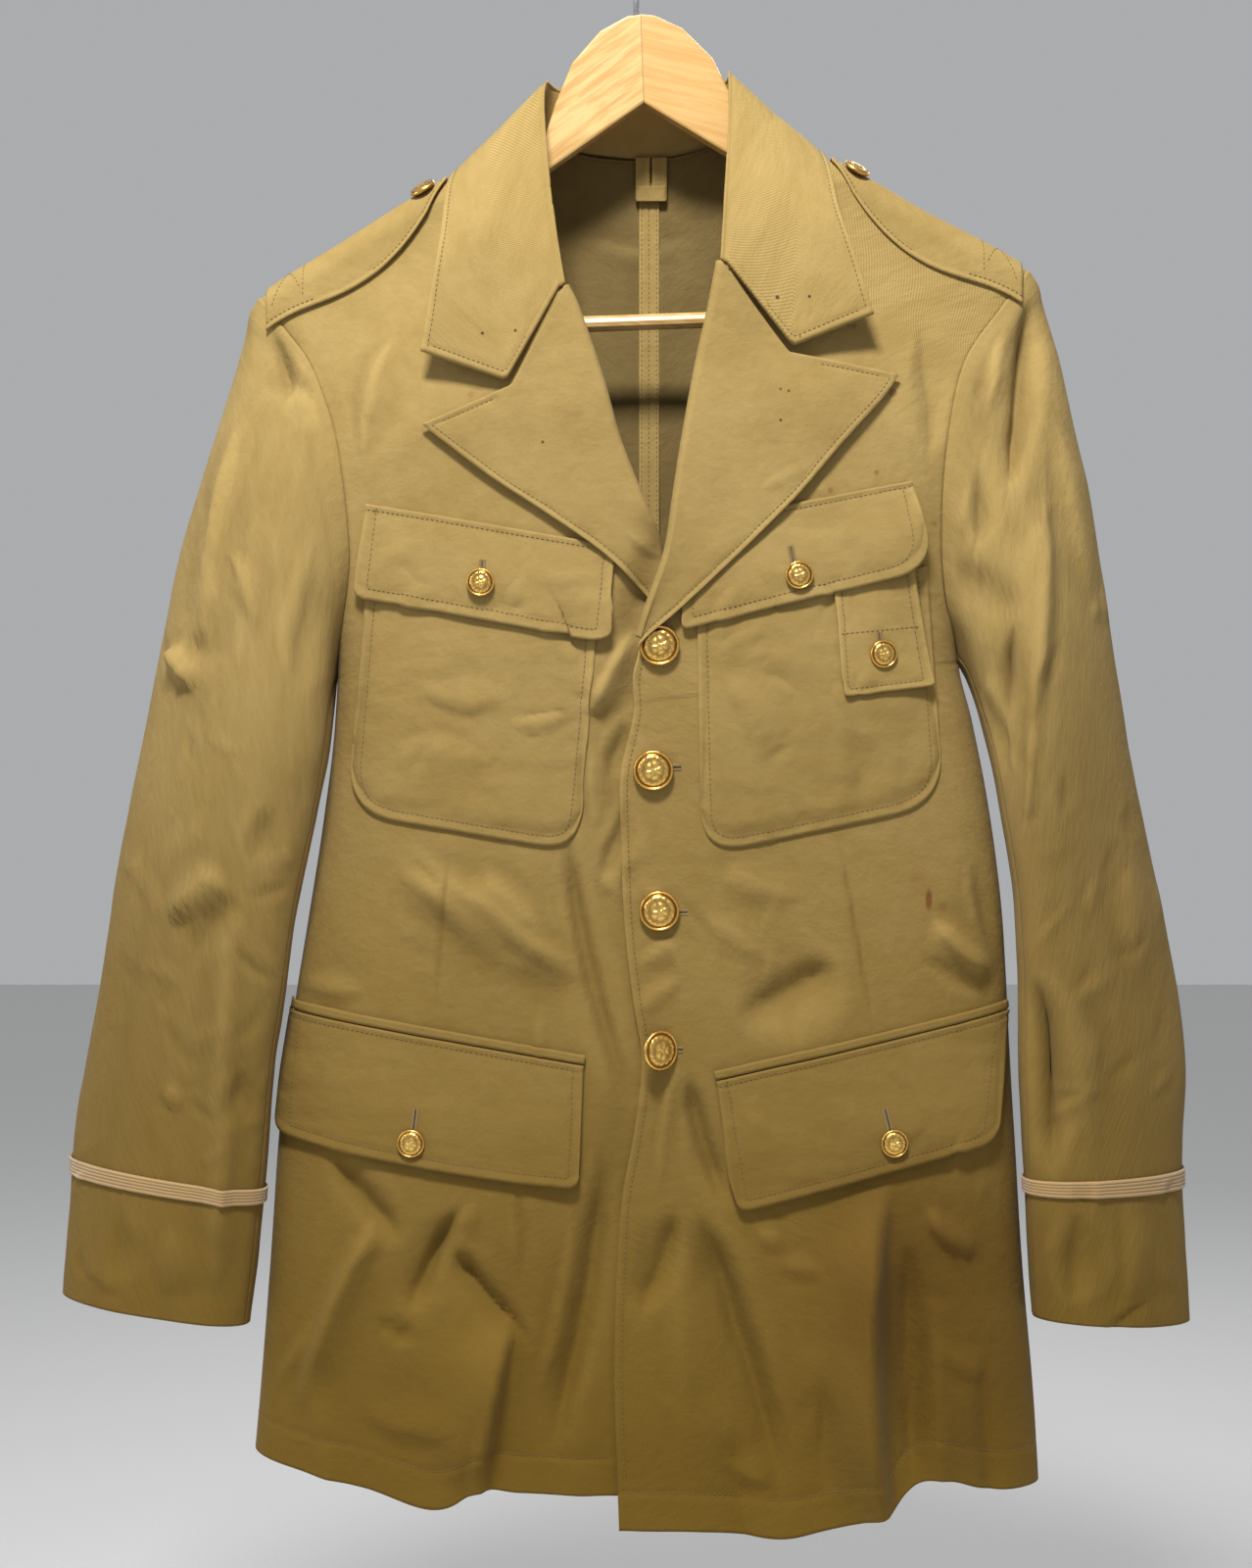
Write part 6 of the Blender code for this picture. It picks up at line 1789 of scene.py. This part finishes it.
# Marks on the coat, in the front view: x, z, radius across and down, and strength
RUST_SPOTS = (
    (166.5, -586.5, 1.9, 5.6, 0.85), (174.5, -590.5, 2.6, 2.2, 0.3),
    (145.8, -298.0, 2.2, 2.2, 0.55), (136.0, -344.0, 1.5, 1.5, 0.45),
    (109.5, -354.5, 1.6, 1.6, 0.45), (160.0, -575.0, 5.0, 9.0, 0.12),
    (-94, -300, 1.8, 1.8, 0.25), (170, -372, 1.6, 1.6, 0.3),
)
# Pin holes: small dark spots of painted shade in the holes.
PIN_HOLES = (
    (-87.2, -266.2, 0.9, 0.9, 0.9), (-68.6, -264.6, 0.9, 0.9, 0.8), (79.4, -245.8, 1.1, 1.1, 0.9),
    (97.5, -245.4, 0.9, 0.9, 0.9), (92.1, -268.4, 0.7, 0.7, 0.6), (-53.1, -328.0, 0.9, 0.9, 0.8),
    (81.0, -298.0, 0.8, 0.8, 0.7), (85.6, -299.0, 0.8, 0.8, 0.7), (81.0, -315.7, 0.9, 0.9, 0.8),
)
DAMP_STAINS = (
    (158, -800, 62, 62, 0.7), (190, -860, 46, 60, 0.55), (120, -868, 40, 34, 0.35),
    (60, -905, 70, 26, 0.22), (-300, -640, 40, 90, 0.2), (275, -560, 40, 120, 0.22),
    (-120, -880, 60, 40, 0.2), (-60, -830, 30, 60, 0.2),
)


MARKS_BEFORE = -0.004    # y of the marked cloth is less than this, in metres
# Each kind of mark: its rows, how soft its edges are, and its colour
MARKS = (
    (DAMP_STAINS, 0.6, (0.115, 0.056, 0.004)),
    (RUST_SPOTS, 0.45, (0.17, 0.052, 0.012)),
    (PIN_HOLES, 0.3, (0.045, 0.022, 0.008)),
)


def marks(tree, rows, soft):
    """A mask of spots on the front of the coat."""
    place = at_place(tree)
    apart = parted(tree, place)
    fray = calc(tree, "MULTIPLY_ADD", noise(tree, place, 60.0, 3.0), 0.8 * soft, -0.4 * soft)
    total = 0.0
    for x, z, wide, tall, strength in rows:
        squares = []
        for value, middle, reach in ((apart["X"], x, wide), (apart["Z"], z, tall)):
            off = calc(tree, "SUBTRACT", value, middle * MM)
            share = calc(tree, "DIVIDE", off, reach * MM)
            squares.append(calc(tree, "MULTIPLY", share, share))
        away = calc(tree, "ADD", calc(tree, "SQRT", calc(tree, "ADD", *squares)), fray)
        spot = calc(tree, "MULTIPLY", ranged(tree, away, 1.0 + soft, 1.0 - soft), strength)
        total = calc(tree, "MAXIMUM", total, spot)
    ahead = calc(tree, "LESS_THAN", apart["Y"], MARKS_BEFORE)
    return calc(tree, "MULTIPLY", total, ahead)


def cloth_look(name, pale, deep, twill=0.9, spots=False, inside=1.0):
    """Cotton twill: uneven washed colour, fine diagonal lines, paler worn edges, crests paler from
    wear and painted highlight, painted shade in hollows, painted shade with a browner tint towards
    the hem, and painted shade on inner faces when asked.
    """
    made, tree, shader = new_look(name, 0.86, sheen=0.05)
    shader.inputs["Sheen Tint"].default_value = (1.0, 0.9, 0.7, 1.0)
    shader.inputs["Specular IOR Level"].default_value = 0.2
    cloth = stored(tree, "cloth", "Vector")
    tone = stored(tree, "tone")
    large = noise(tree, cloth, 0.012, 3.0, Roughness=0.55)
    small = noise(tree, cloth, 0.085, 4.0, Roughness=0.6)
    slub = noise(tree, cloth, 1.1, 2.0)
    mapped = node(tree, "ShaderNodeMapping", {"Vector": cloth, "Scale": (1.0, -1.0, 1.0)})
    lines = node(tree, "ShaderNodeTexWave",
                 {"Vector": mapped.outputs[0], "Scale": 0.62, "Distortion": 0.9, "Detail": 2.0,
                  "Detail Scale": 2.2}, wave_type="BANDS", bands_direction="DIAGONAL")
    share = calc(tree, "ADD", calc(tree, "MULTIPLY", ranged(tree, large, 0.3, 0.7), 0.6),
                 calc(tree, "MULTIPLY", ranged(tree, small, 0.3, 0.7), 0.4))
    colour = mixed(tree, share, deep, pale)
    # Darker and browner towards the hem: painted shade of the lower coat together with the cloth's
    # browner colour.
    low = ranged(tree, parted(tree, at_place(tree))["Z"], -0.30, -0.95, 0.0, 0.95)
    # Crests paler from wear and painted highlight, hollows darker with painted shade, worn edges
    # paler, dart seams darker, and the hem browner with painted shade.
    for mask, other in ((ranged(tree, tone, 0.1, 1.0, 0.0, 0.26), tinted(pale, 1.35)),
                        (ranged(tree, tone, -0.15, -1.0, 0.0, 0.22), tinted(deep, 0.55)),
                        (calc(tree, "MULTIPLY", stored(tree, "edge"), 0.34), tinted(pale, 1.4)),
                        (calc(tree, "MULTIPLY", stored(tree, "seam"), 0.6), tinted(deep, 0.45)),
                        (low, LOW_SHADE_AND_TINT)):
        colour = mixed(tree, mask, colour, other)
    if spots:
        for rows, soft, other in MARKS:
            colour = mixed(tree, marks(tree, rows, soft), colour, other)
    grain = calc(tree, "ADD", calc(tree, "MULTIPLY", lines.outputs["Fac"], 0.6),
                 calc(tree, "MULTIPLY", slub, 0.4))
    shade = ranged(tree, grain, 0.1, 0.9, 0.8, 1.13)
    grey = node(tree, "ShaderNodeCombineColor", {0: shade, 1: shade, 2: shade}).outputs[0]
    colour = mixed(tree, 1.0, colour, grey, "MULTIPLY")
    # Painted shade on faces turned to the front, which on the back is its inner side.
    if inside < 1:
        facing = parted(tree, node(tree, "ShaderNodeNewGeometry").outputs["Normal"])
        inner = calc(tree, "LESS_THAN", facing["Y"], 0.0)
        colour = mixed(tree, inner, colour, mixed(tree, 1.0, colour, (inside,) * 3, "MULTIPLY"))
    tree.links.new(colour, shader.inputs["Base Color"])
    crumple = noise(tree, cloth, 0.16, 5.0, Roughness=0.62)
    bumped(tree, shader, (crumple, 0.0014, 0.55), (grain, 0.00016 * twill, 0.6))
    return made


def braid_look():
    """Mohair braid: dense upright threads in ribs, with painted shade in the grooves."""
    made, tree, shader = new_look("cuff_braid", 0.8, sheen=0.35)
    cloth = stored(tree, "cloth", "Vector")
    threads = node(tree, "ShaderNodeTexWave", {"Vector": cloth, "Scale": 0.5, "Distortion": 1.5,
                                               "Detail": 2.0}, bands_direction="X").outputs["Fac"]
    patch = noise(tree, cloth, 0.1, 3.0)
    # Painted shade in the grooves between the ribs, from the rib relief held in the tone.
    colour = mixed(tree, ranged(tree, stored(tree, "tone"), -0.7, 0.5), (0.17, 0.095, 0.03),
                   (0.52, 0.335, 0.13))
    colour = mixed(tree, calc(tree, "MULTIPLY", patch, 0.4), colour, (0.42, 0.25, 0.09))
    colour = mixed(tree, calc(tree, "MULTIPLY", threads, 0.3), colour, (0.25, 0.14, 0.05))
    tree.links.new(colour, shader.inputs["Base Color"])
    bumped(tree, shader, (threads, 0.0002, 0.6))
    return made


def gilt_look():
    """Gilt brass, brown in the hollows of the raised work."""
    made, tree, shader = new_look("gilt_brass", 0.26, metallic=1.0)
    wear = noise(tree, at_place(tree), 300.0, 4.0)
    colour = mixed(tree, ranged(tree, stored(tree, "tone"), -0.5, 0.7), (0.34, 0.13, 0.015),
                   (0.96, 0.62, 0.17))
    colour = mixed(tree, ranged(tree, wear, 0.55, 0.8, 0.0, 0.45), colour, (0.40, 0.20, 0.06))
    tree.links.new(colour, shader.inputs["Base Color"])
    tree.links.new(ranged(tree, wear, 0.3, 0.75, 0.18, 0.42), shader.inputs["Roughness"])
    return made


def wood_look(name, joint):
    """Clear lacquered beech or pine with streaks along the grain."""
    made, tree, shader = new_look(name, 0.34)
    shader.inputs["Coat Weight"].default_value = 0.35
    shader.inputs["Coat Roughness"].default_value = 0.2
    place = at_place(tree)
    halves = []
    for turn, stretch, strength in ((0.62, 11.0, 1.0), (-0.25, 14.0, 0.5)):
        turned = node(tree, "ShaderNodeMapping", {"Vector": place, "Rotation": (0.0, turn, 0.0)})
        drawn = node(tree, "ShaderNodeMapping", {"Vector": turned.outputs[0],
                                                 "Scale": (1.0, stretch, stretch)}).outputs[0]
        streak = noise(tree, drawn, 22.0, 6.0, Roughness=0.6, Distortion=0.35)
        pore = ranged(tree, noise(tree, drawn, 120.0, 2.0), 0.55, 0.75)
        base = mixed(tree, ranged(tree, streak, 0.36, 0.66), (0.64, 0.43, 0.165),
                     (0.50, 0.275, 0.075))
        halves.append(mixed(tree, calc(tree, "MULTIPLY", pore, 0.35 * strength), base,
                            (0.42, 0.22, 0.07)))
    colour = halves[1]
    if joint:
        apart = parted(tree, place)
        side = calc(tree, "MULTIPLY_ADD", apart["Z"], 0.035, apart["X"])
        half = calc(tree, "GREATER_THAN", side, 0.0)
        deeper = mixed(tree, 0.55, halves[1], (0.50, 0.27, 0.07))
        colour = mixed(tree, half, halves[0], deeper)
        line = ranged(tree, calc(tree, "ABSOLUTE", side), 0.0005, 0.0001, 0.0, 0.7)
        colour = mixed(tree, line, colour, (0.25, 0.13, 0.04))
    tree.links.new(colour, shader.inputs["Base Color"])
    return made


def plain_look(name, colour, roughness, metallic=0.0):
    """A finish of one material with fine uneven gloss."""
    made, tree, shader = new_look(name, roughness, metallic)
    gloss = noise(tree, at_place(tree), 400.0, 3.0)
    tree.links.new(mixed(tree, gloss, tinted(colour, 0.8), colour), shader.inputs["Base Color"])
    rough = ranged(tree, gloss, 0.3, 0.7, roughness * 0.8, min(roughness * 1.2, 1.0))
    tree.links.new(rough, shader.inputs["Roughness"])
    return made


LOW_SHADE_AND_TINT = (0.165, 0.092, 0.006)    # darker, browner cloth towards the hem: painted shade of the lower coat together with its browner colour there
COAT_PALE = (0.370, 0.256, 0.088)
COAT_DEEP = (0.298, 0.197, 0.058)


def make_looks():
    """All materials."""
    return {
        # the back's inner face gets painted shade
        "back": cloth_look("back_twill", COAT_PALE, COAT_DEEP, inside=0.5),
        "coat": cloth_look("coat_twill", COAT_PALE, COAT_DEEP, spots=True),
        "trim": cloth_look("tab_twill", tinted(COAT_PALE, 1.08), tinted(COAT_DEEP, 1.05)),
        "tape": cloth_look("tape_twill", tinted(COAT_PALE, 0.95), COAT_DEEP, 0.6),
        "braid": braid_look(),
        "gilt": gilt_look(),
        # The stitching thread is darker than the cloth: painted shade of its stitch holes.
        "thread": plain_look("stitching_thread", (0.20, 0.13, 0.045), 0.8),
        "hole_thread": plain_look("buttonhole_thread", (0.30, 0.21, 0.10), 0.75),
        # painted shade of the buttonhole slits
        "dark": plain_look("buttonhole_slit", (0.03, 0.018, 0.008), 0.9),
        "wood": wood_look("hanger_wood", True),
        "bar": wood_look("hanger_bar_wood", False),
        "steel": plain_look("hook_steel", (0.55, 0.55, 0.56), 0.3, 1.0),
    }


def finish_hanger():
    """Better finishes on the hanger's own solids."""
    for name, look in (("hanger_arms", "wood"), ("hanger_bar", "bar"), ("hanger_hook", "steel")):
        made = bpy.data.objects[name]
        for slot in made.material_slots:
            slot.material = LOOKS[look]


CAMERA_AT = (-0.0061, -1.345, -0.5206)
CAMERA_LENS = 52.7


def add_stage():
    """Floor, soft studio lights, pale surroundings and the camera of the photograph."""
    bpy.ops.mesh.primitive_plane_add(size=FLOOR_SIZE, location=(0, 0, FLOOR_HEIGHT))
    floor = bpy.context.object
    floor.name = "studio_floor"
    floor.data.materials.append(plain_look("studio_floor", (0.78, 0.78, 0.77), 0.7))
    for name, place, aim, size, power in LIGHTS:
        lamp = bpy.data.lights.new(name, "AREA")
        lamp.shape = "RECTANGLE"
        lamp.size, lamp.size_y = size
        lamp.energy = power
        made = bpy.data.objects.new(name, lamp)
        bpy.context.scene.collection.objects.link(made)
        made.location = place
        made.rotation_euler = (Vector(aim) - Vector(place)).to_track_quat("-Z", "Y").to_euler()
    world = bpy.data.worlds.new("studio")
    bpy.context.scene.world = world
    world.use_nodes = True
    backing = world.node_tree.nodes["Background"]
    backing.inputs["Color"].default_value = (0.93, 0.94, 0.96, 1.0)
    backing.inputs["Strength"].default_value = WORLD_LIGHT
    camera = bpy.data.objects.new("camera", bpy.data.cameras.new("camera"))
    bpy.context.scene.collection.objects.link(camera)
    camera.location = CAMERA_AT
    camera.rotation_euler = (pi / 2, 0, 0)
    camera.data.sensor_fit = "VERTICAL"
    camera.data.sensor_height = 36.0
    camera.data.lens = CAMERA_LENS
    camera.data.clip_start = 0.05
    bpy.context.scene.camera = camera


FLOOR_SIZE = 14.0
FLOOR_HEIGHT = -1.25
WORLD_LIGHT = 0.44
# Name, place, aim, size and power of each light
LIGHTS = (
    ("key", (-0.16, -0.9, 0.8), (0.0, 0.0, -0.32), (0.36, 0.22), 35.0),
    ("side", (-1.8, -0.5, 0.1), (0.0, 0.0, -0.5), (0.4, 0.9), 6.0),
    ("behind", (0.4, 1.7, 0.7), (0.0, 0.0, -0.5), (1.2, 0.8), 12.0),
)

# Each piece as it was cut: width, length, and the share of that rectangle that it fills
CUTS = {
    "front_right": (293, 822, 0.72), "front_left": (302, 842, 0.68),
    "back_right": (274, 783, 0.76), "back_left": (261, 794, 0.79),
    "sleeve_right_top": (215, 640, 0.78), "sleeve_right_under": (115, 560, 0.84),
    "sleeve_left_top": (205, 640, 0.78), "sleeve_left_under": (110, 560, 0.82),
    "collar": (543, 126, 0.66), "facing_right": (203, 136, 0.46), "facing_left": (218, 146, 0.51),
    "cuff_braid_right": (293, 12, 1.0), "cuff_braid_left": (270, 12, 1.0),
    "epaulette_right": (144, 64, 0.82), "epaulette_left": (146, 64, 0.84),
    "breast_pocket_right": (148, 133, 0.92), "breast_pocket_left": (152, 138, 0.91),
    "breast_flap_right": (161, 56, 0.93), "breast_flap_left": (150, 61, 0.86),
    "hip_flap_right": (195, 73, 0.97), "hip_flap_left": (182, 77, 0.9),
    "hip_welt_right": (195, 12, 0.55), "hip_welt_left": (182, 12, 0.53),
    "pocket_tab": (55, 68, 0.94), "back_seam_tape": (13, 760, 1.0), "neck_loop": (30, 26, 0.91),
}

LOOKS = make_looks()
add_fronts()
add_backs()
add_flat_pieces()
add_sleeves()
add_collar()
add_lapels()
add_epaulettes()
add_neck_inside()
add_buttons()
add_stitching()
add_buttonholes()
finish_hanger()
add_stage()
bpy.context.scene.view_settings.view_transform = "Standard"
